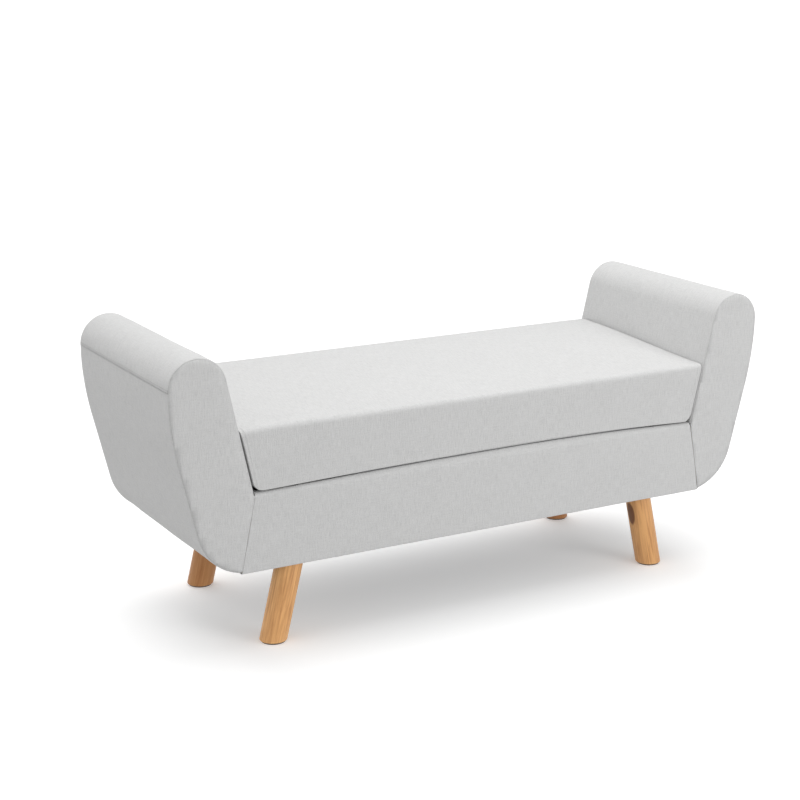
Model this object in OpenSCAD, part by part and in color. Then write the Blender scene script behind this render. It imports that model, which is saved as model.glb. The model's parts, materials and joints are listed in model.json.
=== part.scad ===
// Upholstered storage bench: a box on four splayed legs, two rolled armrests
// and a padded seat that lifts on rear hinges, held by a pair of lid stays.
// Origin on the floor under the middle of the bench; +X right, +Y back, +Z up.

/* [Overall] */
// Length over both armrests
bench_length = 1296; // [1150:1:1600]
// Depth over the armrests, front to back
bench_depth = 430; // [380:1:520]
// Height of the armrest tops above the floor
armrest_height = 562; // [520:1:680]
// Height of the box underside above the floor
box_bottom = 158.5; // [120:0.5:200]
// Height of the box, underside to top
box_height = 146.5; // [140:0.5:180]

/* [Seat] */
// Height of the seat cushion at its edges, lid board included
cushion_edge = 116; // [90:1:140]
// Rise of the seat between its front and back edges
cushion_crown = 16; // [6:1:24]
// Gap between each end of the seat and the armrest beside it
seat_end_gap = 4; // [3:0.5:8]
// How far the seat front sits behind the armrest front
seat_front_set = 0.5; // [0:0.5:4]
// Gap between the seat back and the rear rail's outer face
seat_back_set = 1; // [1:0.5:4]
// How far foam wraps past the front and ends of the lid board
lid_board_set = 8; // [4:1:12]

/* [Armrests] */
// Radius of the rolled top
armrest_top_r = 56; // [48:1:66]
// Lean of the inner face from upright, degrees
armrest_inner_lean = 12.8; // [8:0.1:15]
// Lean of the outer face below its curve, degrees
armrest_outer_lean = 14; // [8:0.1:16]
// Radius of the outer face's upper curve
armrest_side_r = 566; // [480:1:620]
// Radius of the outer face's lower curve
armrest_foot_r = 105; // [90:1:115]
// Lean of the seam between armrest and rail, degrees
seam_lean = 11; // [5:0.5:13]
// How far that seam starts below the box top
seam_drop = 3; // [2:0.5:6]

/* [Boards and padding] */
// Thickness of the cover fabric with its backing
fabric_t = 1.5; // [1:0.1:2]
// Thickness of the foam wrapped round the armrests
wrap_foam_t = 10; // [6:1:12]
// Thickness of the foam on flat fronts and rail tops
pad_foam_t = 5; // [3:0.5:8]
// Thickness of the hardboard skin under the armrest foam
skin_t = 3; // [2.5:0.5:4]
// Thickness of the plywood boards
ply_t = 12; // [9:1:15]
// Thickness of the box end panels
end_panel_t = 15; // [12:1:18]
// Thickness of the storage lining
lining_t = 1; // [0.6:0.1:1.5]
// Thickness of the dust cover under the box
dust_cover_t = 0.8; // [0.5:0.1:1.2]
// Rounding of the front rail's padded top edge
rail_round = 8; // [7:0.5:9]
// How far the rear rail sits in from the armrest backs
back_recess = 8; // [8:0.5:12]

/* [Legs] */
// Radius of a leg
leg_r = 25.5; // [18:0.5:26]
// Lean of each leg outward along the bench, degrees
leg_lean = 13.2; // [8:0.1:15]
// Leg centre at the floor, in from the end of the bench
leg_end_inset = 214; // [205:1:240]
// Gap between a rear leg and the board of the rear rail
leg_rail_gap = 1; // [1:0.5:13]
// Thickness of the glide under each leg
glide_t = 3; // [2:0.5:5]

/* [Lid hardware] */
// Distance of the outer hinges from the middle hinge
hinge_spacing = 350; // [250:1:400]
// Width of a hinge
hinge_width = 60; // [50:1:80]
// Radius of a hinge pin
hinge_pin_r = 1.5; // [1.2:0.1:1.6]
// Thickness of a hinge leaf
leaf_t = 1.4; // [1.2:0.1:2]
// Depth of a hinge leaf from the pin
leaf_depth = 24; // [22:1:26]
// Length of a lid stay's arm along the box
stay_reach = 210; // [150:1:230]
// Width of a lid stay's arm
stay_bar_w = 16; // [14:1:18]

/* [Hidden] */
$fn = 64;
touch = 0.01;            // how far a cutting shape runs past the face it opens
reach = 2000;            // size of a slab that cuts a whole side away
run_clear = 0.05;        // radial clearance of a pin that turns
open_pivot_clear = 0.15; // radial clearance of the stay pivot that is left open

// Armrest outline: straight inner face, round top, curved outer face, round foot
top_x = bench_length / 2 - armrest_top_r;
top_z = armrest_height - armrest_top_r;
side_x = bench_length / 2 - armrest_side_r;
side_end_x = side_x + armrest_side_r * cos(armrest_outer_lean);
side_end_z = top_z - armrest_side_r * sin(armrest_outer_lean);
foot_z = box_bottom + armrest_foot_r;
foot_start_z = foot_z - armrest_foot_r * sin(armrest_outer_lean);
foot_start_x = side_end_x - (side_end_z - foot_start_z) * tan(armrest_outer_lean);
foot_x = foot_start_x - armrest_foot_r * cos(armrest_outer_lean);

function inner_face_x(z, d) =
    top_x - (armrest_top_r - d) * cos(armrest_inner_lean)
    - (top_z + (armrest_top_r - d) * sin(armrest_inner_lean) - z) * tan(armrest_inner_lean);

// Box faces
box_top = box_bottom + box_height;
seam_top = box_top - seam_drop;
box_half = inner_face_x(seam_top, 0);
front_y = -bench_depth / 2;
back_y = bench_depth / 2;
rail_back_y = back_y - back_recess;
front_ply_y = front_y + fabric_t + pad_foam_t;
front_in_y = front_ply_y + ply_t;
back_ply_y = rail_back_y - fabric_t;
back_in_y = back_ply_y - ply_t;
end_in_x = box_half - end_panel_t;
lining_x = end_in_x - lining_t;
ply_bottom = box_bottom + fabric_t;
front_ply_top = box_top - fabric_t - pad_foam_t;
back_ply_top = box_top - fabric_t;
batten_t = 12;
batten_w = 25;
floor_bottom = ply_bottom + batten_t;
floor_top = floor_bottom + ply_t;
batten_gap = 40;         // from a leg centre to the end of the batten beside it
dust_gap = 1;            // dust cover's edge to the covers around it

// Armrest layers, as depths below the fabric's face
skin_d = fabric_t + wrap_foam_t;
board_d = skin_d + skin_t;
arm_pad_y = back_y - fabric_t;
arm_board_y = arm_pad_y - pad_foam_t;
arm_board_in_y = arm_board_y - ply_t;
side_mid_x = (side_end_x + foot_start_x) / 2;
side_mid_z = (side_end_z + foot_start_z) / 2;
stretcher_t = 30;        // side of a stretcher's square section
sill_w = 45;             // width of the two stretchers bolted to the box
sill_screw_x = box_half + 35;
sill_gap = 6;            // lower sill to the box floor, upper sill to the tucked cover
lower_sill_z = floor_top + sill_gap + stretcher_t / 2;
upper_sill_z = tuck_z(board_d) - sill_gap - stretcher_t / 2;
stretcher_set = 27;      // from a board's edge to a stretcher's middle
rails = [                // middles of the three outer stretchers, [x, z]
    [foot_x + (armrest_foot_r - board_d - stretcher_set) * cos(45),
     foot_z - (armrest_foot_r - board_d - stretcher_set) * sin(45)],
    [side_mid_x - (board_d + stretcher_set) * cos(armrest_outer_lean),
     side_mid_z + (board_d + stretcher_set) * sin(armrest_outer_lean)],
    [top_x, top_z]];

// Lid
leaf_gap = 0.2;
lid_bottom = box_top + 2 * leaf_t + leaf_gap;
lid_front = front_y + seat_front_set;
lid_back = rail_back_y - seat_back_set;
lid_board_bottom = lid_bottom + fabric_t;
lid_board_top = lid_board_bottom + ply_t;
lid_half_d = (lid_back - lid_front) / 2;
lid_mid_y = (lid_back + lid_front) / 2;
crown_r = (lid_half_d * lid_half_d + cushion_crown * cushion_crown) / (2 * cushion_crown);
crown_z = lid_bottom + cushion_edge + cushion_crown - crown_r;
return_w = 25;           // width of the cover turned under the lid
bumper_r = 4.5;
bumper_clear = 0.2;      // closed lid's bumpers to the rail
bumper_xs = [-400, -140, 140, 400];
bumper_y = front_in_y - bumper_r - 0.5;

// Hinges
knuckle_r = hinge_pin_r + 1.7;
knuckle_clear = 0.8;     // knuckle to the rear rail's cover
knuckles = 5;
knuckle_w = hinge_width / knuckles;
knuckle_side_gap = 0.2;  // each end of a lid knuckle
hinge_y = rail_back_y + knuckle_clear + knuckle_r;
hinge_z = box_top + leaf_t + leaf_gap / 2;
hinge_head_r = 2.4;
hinge_head_t = 1.2;
hinge_xs = [-hinge_spacing, 0, hinge_spacing];
hinge_screw_xs = [-hinge_width / 3, 0, hinge_width / 3];
hinge_screw_y = (back_in_y + back_ply_y) / 2;
hinge_screw_r = 1.7;
hinge_screw_head = 3.2;
box_screw_len = 16;
lid_screw_len = 12.5;

// Lid stays: a parallelogram of hinge, base pivot, elbow and lid pivot
stay_rise = 14;          // lid pivot below the hinge axis
post_back = 45;          // base pivot in front of the hinge axis
post_down = 62;          // base pivot below the hinge axis
base_p = [hinge_y - post_back, hinge_z - post_down];
lid_p = [hinge_y - stay_reach, hinge_z - stay_rise];
elbow_p = [base_p.x - stay_reach, base_p.y - stay_rise];
stay_plate_t = 2;
hub_r = 18;
hub_t = 9;
layer_gap = 0.5;
bar_t = 2.5;
link_w = 12;
cap_gap = 0.3;
cap_t = 1.5;
base_pin_r = 4;
stay_pin_r = 3;
arm_in = stay_plate_t + hub_t + layer_gap;   // layers counted inward from the lining
arm_out = arm_in + bar_t;
link_in = arm_out + layer_gap;
link_out = link_in + bar_t;
ear_w = 16;
flange_w = 24;
flange_l = 34;
flange_t = 2;
stay_screws = [[-29, 13], [-29, -27], [14, -27]];
stay_screw_len = 12;
wood_screw_r = 2;
wood_screw_head = 3.6;
flange_screw_step = 10;
flange_screw_len = 13;

// Legs and their fixings
leg_x = bench_length / 2 - leg_end_inset;
leg_y = back_in_y - leg_rail_gap - leg_r;
leg_top_gap = 0.5;       // leg's highest edge to the plate
plate_t = 2.5;
plate_w = 50;
plate_z = floor_bottom - plate_t;
leg_len = (plate_z - leg_top_gap - leg_r * sin(leg_lean)) / cos(leg_lean);
plate_x = leg_x - plate_z * tan(leg_lean);
glide_x = leg_x - glide_t * tan(leg_lean);
glide_r = leg_r - 3;
boss_r = 18;
leg_bolt_r = 4;
leg_bolt_depth = 40;
leg_bolt_end = 1.5;      // bolt's end below the floor panel
plate_screw_step = 19;
plate_screw_len = 11;
leg_hole_clear = 3;      // dust cover's hole round a leg

// Armrest bolts and board screws
bolt_r = 4;
bolt_head_r = 8;
bolt_head_t = 3.5;
washer_r = 10;
washer_t = 1.5;
bolt_len = 42;
bolt_front_inset = 75;   // front bolts in from the bench's front
bolt_back_inset = 125;   // rear bolts in from the bench's back
board_screw_len = 40;
frame_screw_len = 45;
frame_screw_r = 2.5;
frame_screw_head = 4;
frame_screw_zs = [ply_bottom + 30, ply_bottom + 75, ply_bottom + 120];

fabric_grey = [0.80, 0.80, 0.79];
foam_cream = [0.93, 0.90, 0.80];
ply_tan = [0.80, 0.68, 0.49];
pine = [0.87, 0.74, 0.52];
hardboard = [0.42, 0.29, 0.19];
leg_wood = [0.79, 0.63, 0.44];
lining_grey = [0.55, 0.55, 0.56];
dust_black = [0.10, 0.10, 0.11];
zinc = [0.72, 0.73, 0.75];
steel_black = [0.13, 0.13, 0.14];
rubber_black = [0.09, 0.09, 0.09];

// ---- outlines ----

function arc(cx, cz, r, from, to, steps) =
    [for (i = [0:steps]) let (a = from + (to - from) * i / steps) [cx + r * cos(a), cz + r * sin(a)]];
function reversed(list) = [for (i = [len(list) - 1:-1:0]) list[i]];
function seam_x(z) = box_half + (seam_top - z) * tan(seam_lean);

// Height at which the inner face, d below the fabric, runs into the seam
function tuck_z(d) =
    (box_half + seam_top * tan(seam_lean) - inner_face_x(0, d))
    / (tan(armrest_inner_lean) + tan(seam_lean));

// Angle on the foot curve, d below the fabric, at which it meets the seam
function foot_end(d) =
    let (s = tan(seam_lean))
    let (k = box_half + (seam_top - foot_z) * s - foot_x)
    let (r = armrest_foot_r - d)
    let (u = (k * s - sqrt(k * k * s * s - (1 + s * s) * (k * k - r * r))) / (1 + s * s))
    atan2(u, k - s * u);

function top_path(d) = concat(
    [[inner_face_x(tuck_z(d), d), tuck_z(d)]],
    arc(top_x, top_z, armrest_top_r - d, 180 - armrest_inner_lean, 0, 20));
function side_path(d) = concat(
    arc(side_x, top_z, armrest_side_r - d, 0, -armrest_outer_lean, 5),
    arc(foot_x, foot_z, armrest_foot_r - d, -armrest_outer_lean, foot_end(d), 10));
function arm_outline(d) = concat(top_path(d), [for (i = [1:len(side_path(d)) - 1]) side_path(d)[i]]);

// An outline from tuck to foot, closed just past the seam so that it cuts clear through
function past_seam(path) = concat(path, [path[len(path) - 1] - [touch, 0], path[0] - [touch, 0]]);

function lid_end_x(z, d) = inner_face_x(z, 0) - (seat_end_gap + d) / cos(armrest_inner_lean);

// Extrude an X-Z outline from one Y to another, or a Y-Z outline across the bench
module along_y(y0, y1) {
    translate([0, y1, 0]) rotate([90, 0, 0]) linear_extrude(height = y1 - y0) children();
}
module along_x(x0, x1) {
    translate([x0, 0, 0]) rotate([90, 0, 90]) linear_extrude(height = x1 - x0) children();
}
module block(x0, x1, y0, y1, z0, z1) {
    translate([x0, y0, z0]) cube([x1 - x0, y1 - y0, z1 - z0]);
}
module handed(side) {
    if (side < 0) mirror([1, 0, 0]) children();
    else children();
}

// A countersunk screw with its head's face at the origin, driven along +Z
module screw(len, r, head_r) {
    cylinder(r1 = head_r, r2 = r, h = head_r - r);
    cylinder(r = r, h = len);
}

// ---- armrests ----

module arm_strip(outer, inner) {
    polygon(concat(outer, reversed(inner)));
}
module arm_cover_wrap() {
    color(fabric_grey) along_y(-arm_pad_y, arm_pad_y) arm_strip(top_path(0), top_path(fabric_t));
}
module arm_cover_outer() {
    color(fabric_grey) along_y(-arm_pad_y, arm_pad_y) arm_strip(side_path(0), side_path(fabric_t));
}
module arm_cover_flat(end) {
    color(fabric_grey) mirror([0, end > 0 ? 0 : 1, 0]) along_y(arm_pad_y, back_y) polygon(arm_outline(0));
}
module arm_foam() {
    color(foam_cream) difference() {
        along_y(-arm_pad_y, arm_pad_y) polygon(arm_outline(fabric_t));
        along_y(-arm_board_y, arm_board_y) polygon(past_seam(arm_outline(skin_d)));
    }
}
module arm_skin() {
    color(hardboard) along_y(-arm_board_y, arm_board_y) {
        arm_strip(top_path(skin_d), top_path(board_d));
        arm_strip(side_path(skin_d), side_path(board_d));
    }
}
module arm_board(end) {
    color(ply_tan) difference() {
        mirror([0, end > 0 ? 0 : 1, 0]) along_y(arm_board_in_y, arm_board_y) polygon(arm_outline(board_d));
        at_arm_screws() screw(board_screw_len, wood_screw_r, wood_screw_head);
    }
}
module arm_stretchers() {
    color(pine) difference() {
        union() {
            for (c = rails)
                translate([c.x - stretcher_t / 2, -arm_board_in_y, c.y - stretcher_t / 2])
                    cube([stretcher_t, 2 * arm_board_in_y, stretcher_t]);
            for (z = [lower_sill_z, upper_sill_z])
                translate([box_half, -arm_board_in_y, z - stretcher_t / 2])
                    cube([sill_w, 2 * arm_board_in_y, stretcher_t]);
        }
        between_seams(back_in_y, back_y, box_bottom, box_top);
        at_arm_screws() screw(board_screw_len, wood_screw_r, wood_screw_head);
        at_arm_bolts() cylinder(r = bolt_r, h = bolt_len);
    }
}
// Screws through both boards into the stretchers of the right armrest
module at_arm_screws() {
    for (c = concat(rails, [[sill_screw_x, lower_sill_z], [sill_screw_x, upper_sill_z]]))
        for (end = [-1, 1])
            translate([c.x, end * arm_board_y, c.y]) rotate([end * 90, 0, 0]) children();
}
// Bolts from inside the box into the right armrest, from the lining's face outward
module at_arm_bolts() {
    for (y = [front_y + bolt_front_inset, back_y - bolt_back_inset])
        for (z = [lower_sill_z, upper_sill_z])
            translate([lining_x, y, z]) rotate([0, 90, 0]) children();
}
module armrest_screws() {
    color(zinc) for (side = [-1, 1])
        handed(side) at_arm_screws() screw(board_screw_len, wood_screw_r, wood_screw_head);
}
module armrest_bolts() {
    color(zinc) for (side = [-1, 1])
        handed(side) at_arm_bolts() {
            translate([0, 0, -washer_t]) cylinder(r = bolt_r, h = bolt_len + washer_t);
            translate([0, 0, -washer_t - bolt_head_t]) cylinder(r = bolt_head_r, h = bolt_head_t);
        }
}
module armrest_washers() {
    color(zinc) for (side = [-1, 1])
        handed(side) at_arm_bolts() difference() {
            translate([0, 0, -washer_t]) cylinder(r = washer_r, h = washer_t);
            translate([0, 0, -washer_t - touch]) cylinder(r = bolt_r, h = washer_t + 2 * touch);
        }
}

// ---- box ----

// Anything between the two slanted seams, from one height to another
module between_seams(y0, y1, z0, z1) {
    along_y(y0, y1) polygon([
        [-seam_x(z0), z0], [seam_x(z0), z0], [seam_x(z1), z1], [-seam_x(z1), z1]]);
}
module at_frame_screws() {
    for (side = [-1, 1])
        for (z = frame_screw_zs) {
            translate([side * (box_half - end_panel_t / 2), front_ply_y, z]) rotate([-90, 0, 0]) children();
            translate([side * (box_half - end_panel_t / 2), back_ply_y, z]) rotate([90, 0, 0]) children();
        }
}
module frame_screws() {
    color(zinc) at_frame_screws() screw(frame_screw_len, frame_screw_r, frame_screw_head);
}
module front_rail() {
    color(ply_tan) difference() {
        between_seams(front_ply_y, front_in_y, ply_bottom, front_ply_top);
        at_frame_screws() screw(frame_screw_len, frame_screw_r, frame_screw_head);
    }
}
module back_rail() {
    color(ply_tan) difference() {
        between_seams(back_in_y, back_ply_y, ply_bottom, back_ply_top);
        at_frame_screws() screw(frame_screw_len, frame_screw_r, frame_screw_head);
        at_hinge_box_screws() screw(box_screw_len, hinge_screw_r, hinge_screw_head);
    }
}
module end_panel(side) {
    color(ply_tan) difference() {
        handed(side) block(end_in_x, box_half, front_in_y, back_in_y, ply_bottom, seam_top);
        at_frame_screws() screw(frame_screw_len, frame_screw_r, frame_screw_head);
        handed(side) at_arm_bolts() cylinder(r = bolt_r, h = bolt_len);
        handed(side) at_stay_screws() screw(stay_screw_len, wood_screw_r, wood_screw_head);
    }
}
// Padded outline of the front rail in Y-Z, d below the fabric's face
function rail_outline(d) = concat(
    [[front_in_y + lining_t, box_bottom + d], [front_y + d, box_bottom + d]],
    reversed(arc(front_y + rail_round, box_top - rail_round, rail_round - d, 90, 180, 6)),
    [[front_in_y + lining_t, box_top - d]]);
module front_rail_foam() {
    color(foam_cream) difference() {
        intersection() {
            along_x(-reach, reach) polygon(rail_outline(fabric_t));
            between_seams(front_y, front_in_y, ply_bottom, box_top - fabric_t);
        }
        between_seams(front_ply_y, front_in_y + touch, ply_bottom, front_ply_top);
    }
}
module front_rail_cover() {
    color(fabric_grey) intersection() {
        along_x(-reach, reach) difference() {
            polygon(rail_outline(0));
            polygon(rail_outline(fabric_t));
        }
        between_seams(front_y, front_in_y + lining_t, box_bottom, box_top);
    }
}
module back_rail_cover() {
    color(fabric_grey) difference() {
        between_seams(back_in_y - lining_t, rail_back_y, box_bottom, box_top);
        between_seams(back_in_y - lining_t - touch, back_ply_y, ply_bottom, back_ply_top);
        at_hinge_box_screws() screw(box_screw_len, hinge_screw_r, hinge_screw_head);
    }
}
module floor_panel() {
    color(ply_tan) difference() {
        block(-end_in_x, end_in_x, front_in_y, back_in_y, floor_bottom, floor_top);
        at_plate_screws() screw(plate_screw_len, wood_screw_r, wood_screw_head);
    }
}
module floor_battens() {
    long = plate_x - batten_gap;
    deep = leg_y - batten_gap;
    color(pine) {
        block(-long, long, front_in_y, front_in_y + batten_w, ply_bottom, floor_bottom);
        block(-long, long, back_in_y - batten_w, back_in_y, ply_bottom, floor_bottom);
        for (side = [-1, 1])
            handed(side) block(end_in_x - batten_w, end_in_x, -deep, deep, ply_bottom, floor_bottom);
    }
}
module box_lining() {
    color(lining_grey) difference() {
        union() {
            block(-end_in_x, end_in_x, front_in_y, back_in_y, floor_top, seam_top + lining_t);
            block(-box_half, box_half, front_in_y, back_in_y, seam_top, seam_top + lining_t);
        }
        block(-lining_x, lining_x, front_in_y + lining_t, back_in_y - lining_t,
              floor_top + lining_t, box_top);
        for (side = [-1, 1]) {
            handed(side) at_arm_bolts() cylinder(r = bolt_r, h = bolt_len);
            handed(side) at_stay_screws() screw(stay_screw_len, wood_screw_r, wood_screw_head);
        }
    }
}
module dust_cover() {
    half = seam_x(ply_bottom) - dust_gap;
    color(dust_black) difference() {
        block(-half, half, front_in_y + lining_t + dust_gap, back_in_y - lining_t - dust_gap,
              ply_bottom - dust_cover_t, ply_bottom);
        at_legs() translate([0, 0, leg_len / 2]) cylinder(r = leg_r + leg_hole_clear, h = leg_len);
    }
}

// ---- legs ----

module tilted(side, end) {
    translate([side * leg_x, end * leg_y, 0]) rotate([0, -side * leg_lean, 0]) children();
}
module at_legs() {
    for (side = [-1, 1])
        for (end = [-1, 1])
            tilted(side, end) children();
}
module at_plate_screws() {
    for (side = [-1, 1])
        for (end = [-1, 1])
            for (i = [-1, 1])
                for (j = [-1, 1])
                    translate([side * plate_x + i * plate_screw_step,
                               end * leg_y + j * plate_screw_step, plate_z]) children();
}
module leg(side, end) {
    color(leg_wood) difference() {
        tilted(side, end) translate([0, 0, -leg_r]) cylinder(r = leg_r, h = leg_len + leg_r);
        translate([0, 0, glide_t - reach / 2]) cube(reach, center = true);
        tilted(side, end) translate([0, 0, leg_len - leg_bolt_depth])
            cylinder(r = leg_bolt_r, h = leg_bolt_depth + touch);
    }
}
module leg_bolts() {
    bolt_top = (floor_bottom - leg_bolt_end) / cos(leg_lean);
    color(zinc) at_legs() translate([0, 0, leg_len - leg_bolt_depth])
        cylinder(r = leg_bolt_r, h = bolt_top - leg_len + leg_bolt_depth);
}
module leg_plates() {
    color(steel_black) for (side = [-1, 1])
        for (end = [-1, 1])
            difference() {
                union() {
                    translate([side * plate_x - plate_w / 2, end * leg_y - plate_w / 2, plate_z])
                        cube([plate_w, plate_w, plate_t]);
                    intersection() {
                        tilted(side, end) translate([0, 0, leg_len]) cylinder(r = boss_r, h = leg_r);
                        translate([0, 0, floor_bottom - reach / 2]) cube(reach, center = true);
                    }
                }
                tilted(side, end) translate([0, 0, leg_len - touch]) cylinder(r = leg_bolt_r, h = 2 * leg_r);
                at_plate_screws() screw(plate_screw_len, wood_screw_r, wood_screw_head);
            }
}
module leg_plate_screws() {
    color(zinc) at_plate_screws() screw(plate_screw_len, wood_screw_r, wood_screw_head);
}
module leg_glides() {
    color(rubber_black) for (side = [-1, 1])
        for (end = [-1, 1])
            translate([side * glide_x, end * leg_y, 0]) cylinder(r = glide_r, h = glide_t);
}

// ---- lid ----

// Seat shape, d inside the cover's face, from one height up to the crown
module seat_block(d, z0) {
    z1 = lid_bottom + cushion_edge + cushion_crown + touch;
    edge_a = asin((lid_half_d - d) / (crown_r - d));
    intersection() {
        along_y(lid_front + d, lid_back - d) polygon([
            [-lid_end_x(z0, d), z0], [lid_end_x(z0, d), z0],
            [lid_end_x(z1, d), z1], [-lid_end_x(z1, d), z1]]);
        along_x(-reach, reach) polygon(concat(
            [[lid_front + d, z0 - touch], [lid_back - d, z0 - touch]],
            arc(lid_mid_y, crown_z, crown_r - d, 90 - edge_a, 90 + edge_a, 14)));
    }
}
module seat_cover() {
    inner_z = lid_end_x(lid_bottom, 0) - return_w;
    color(fabric_grey) difference() {
        seat_block(0, lid_bottom);
        seat_block(fabric_t, lid_board_bottom);
        block(-inner_z, inner_z, lid_front + return_w, lid_back - return_w,
              lid_bottom - touch, lid_board_bottom + touch);
        at_hinge_lid_screws() screw(lid_screw_len, hinge_screw_r, hinge_screw_head);
        at_flange_screws() screw(flange_screw_len, wood_screw_r, wood_screw_head);
    }
}
module board_blank() {
    half = lid_end_x(lid_board_bottom, fabric_t + lid_board_set);
    block(-half, half, lid_front + fabric_t + lid_board_set, lid_back - fabric_t,
          lid_board_bottom, lid_board_top);
}
module seat_foam() {
    color(foam_cream) difference() {
        seat_block(fabric_t, lid_board_bottom);
        board_blank();
    }
}
module lid_board() {
    color(ply_tan) difference() {
        board_blank();
        at_hinge_lid_screws() screw(lid_screw_len, hinge_screw_r, hinge_screw_head);
        at_flange_screws() screw(flange_screw_len, wood_screw_r, wood_screw_head);
    }
}
module lid_lining() {
    edge = 0.5;
    half = lid_end_x(lid_bottom, 0) - return_w - edge;
    color(lining_grey) difference() {
        block(-half, half, lid_front + return_w + edge, lid_back - return_w - edge,
              lid_board_bottom - lining_t, lid_board_bottom);
        at_flange_screws() screw(flange_screw_len, wood_screw_r, wood_screw_head);
    }
}
module lid_bumpers() {
    color(rubber_black) for (x = bumper_xs)
        translate([x, bumper_y, box_top + bumper_clear])
            cylinder(r = bumper_r, h = lid_bottom - box_top - bumper_clear);
}

// ---- hinges ----

module at_hinge_box_screws() {
    for (x = hinge_xs)
        for (step = hinge_screw_xs)
            translate([x + step, hinge_screw_y, box_top + leaf_t]) mirror([0, 0, 1]) children();
}
module at_hinge_lid_screws() {
    for (x = hinge_xs)
        for (step = hinge_screw_xs)
            translate([x + step, hinge_screw_y, lid_bottom - leaf_t]) children();
}
// One leaf: z is its underside, first the number of its first knuckle
module hinge_leaf(x, z, first, side_gap, bore_r) {
    plate_edge = hinge_y - knuckle_r - side_gap - leaf_gap;
    difference() {
        union() {
            block(x - hinge_width / 2, x + hinge_width / 2, hinge_y - leaf_depth, plate_edge, z, z + leaf_t);
            for (i = [first:2:knuckles - 1]) {
                x0 = x - hinge_width / 2 + i * knuckle_w + side_gap;
                x1 = x0 + knuckle_w - 2 * side_gap;
                block(x0, x1, plate_edge - leaf_t, hinge_y, z, z + leaf_t);
                translate([x0, hinge_y, hinge_z]) rotate([0, 90, 0]) cylinder(r = knuckle_r, h = x1 - x0);
            }
        }
        translate([x - hinge_width, hinge_y, hinge_z]) rotate([0, 90, 0])
            cylinder(r = bore_r, h = 2 * hinge_width);
    }
}
module hinge_box_leaves() {
    color(zinc) difference() {
        for (x = hinge_xs) hinge_leaf(x, box_top, 0, 0, hinge_pin_r);
        at_hinge_box_screws() screw(box_screw_len, hinge_screw_r, hinge_screw_head);
    }
}
module hinge_lid_leaves() {
    color(zinc) difference() {
        for (x = hinge_xs)
            hinge_leaf(x, lid_bottom - leaf_t, 1, knuckle_side_gap, hinge_pin_r + run_clear);
        at_hinge_lid_screws() screw(lid_screw_len, hinge_screw_r, hinge_screw_head);
    }
}
module hinge_pins() {
    color(zinc) for (x = hinge_xs)
        translate([x - hinge_width / 2, hinge_y, hinge_z]) rotate([0, 90, 0]) {
            cylinder(r = hinge_pin_r, h = hinge_width);
            translate([0, 0, -hinge_head_t]) cylinder(r = hinge_head_r, h = hinge_head_t);
            translate([0, 0, hinge_width]) cylinder(r = hinge_head_r, h = hinge_head_t);
        }
}
module hinge_box_screws() {
    color(zinc) at_hinge_box_screws() screw(box_screw_len, hinge_screw_r, hinge_screw_head);
}
module hinge_lid_screws() {
    color(zinc) at_hinge_lid_screws() screw(lid_screw_len, hinge_screw_r, hinge_screw_head);
}

// ---- lid stays, drawn for the right side; points are [y, z] ----

module stay_disc(p, from, to, r) {
    translate([lining_x - to, p.x, p.y]) rotate([0, 90, 0]) cylinder(r = r, h = to - from);
}
function bar_outline(run, w) = concat(arc(0, 0, w / 2, 90, 270, 12), arc(run, 0, w / 2, -90, 90, 12));
module stay_bar(p, q, from, to, w) {
    translate([lining_x - to, p.x, p.y]) rotate([atan2(q.y - p.y, q.x - p.x), 0, 0])
        along_x(0, to - from) polygon(bar_outline(norm(q - p), w));
}
// A pin with a cap, from one layer out through the link
module stay_pin(p, from) {
    stay_disc(p, from, link_out + cap_gap, stay_pin_r);
    stay_disc(p, link_out + cap_gap, link_out + cap_gap + cap_t, stay_pin_r + 2);
}
module at_stay_screws() {
    for (s = stay_screws)
        translate([lining_x - stay_plate_t, base_p.x + s.x, base_p.y + s.y]) rotate([0, 90, 0]) children();
}
module at_flange_screws() {
    for (side = [-1, 1])
        for (step = [-flange_screw_step, flange_screw_step])
            translate([side * (lining_x - arm_out - flange_w / 2), lid_p.x + step, lid_bottom - flange_t])
                children();
}
module stay_base() {
    difference() {
        block(lining_x - stay_plate_t, lining_x, base_p.x - 37, base_p.x + hub_r + 4,
              base_p.y - 35, base_p.y + hub_r + 4);
        at_stay_screws() screw(stay_screw_len, wood_screw_r, wood_screw_head);
    }
    stay_disc(base_p, stay_plate_t, arm_in - layer_gap, hub_r);
    stay_disc(base_p, arm_in - layer_gap, arm_out + cap_gap, base_pin_r);
    stay_disc(base_p, arm_out + cap_gap, arm_out + cap_gap + cap_t, base_pin_r + 3);
}
module stay_arm() {
    difference() {
        union() {
            stay_bar(base_p, elbow_p, arm_in, arm_out, stay_bar_w);
            stay_disc(base_p, arm_in, arm_out, stay_bar_w / 2 + 2);
        }
        stay_disc(base_p, arm_in - layer_gap, arm_out + layer_gap, base_pin_r + run_clear);
    }
    stay_pin(elbow_p, arm_out);
}
module stay_link() {
    difference() {
        stay_bar(lid_p, elbow_p, link_in, link_out, link_w);
        stay_disc(lid_p, link_in - touch, link_out + touch, stay_pin_r + run_clear);
        stay_disc(elbow_p, link_in - touch, link_out + touch, stay_pin_r + open_pivot_clear);
    }
}
module stay_bracket() {
    difference() {
        union() {
            block(lining_x - arm_out, lining_x - arm_in, lid_p.x - ear_w / 2, lid_p.x + ear_w / 2,
                  lid_p.y, lid_bottom - touch);
            block(lining_x - arm_out - flange_w, lining_x - arm_in, lid_p.x - flange_l / 2,
                  lid_p.x + flange_l / 2, lid_bottom - flange_t, lid_bottom);
            stay_disc(lid_p, arm_in, arm_out, ear_w / 2);
        }
        at_flange_screws() screw(flange_screw_len, wood_screw_r, wood_screw_head);
    }
    stay_pin(lid_p, arm_out);
}
module stay_bases() {
    color(steel_black) for (side = [-1, 1]) handed(side) stay_base();
}
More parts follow.
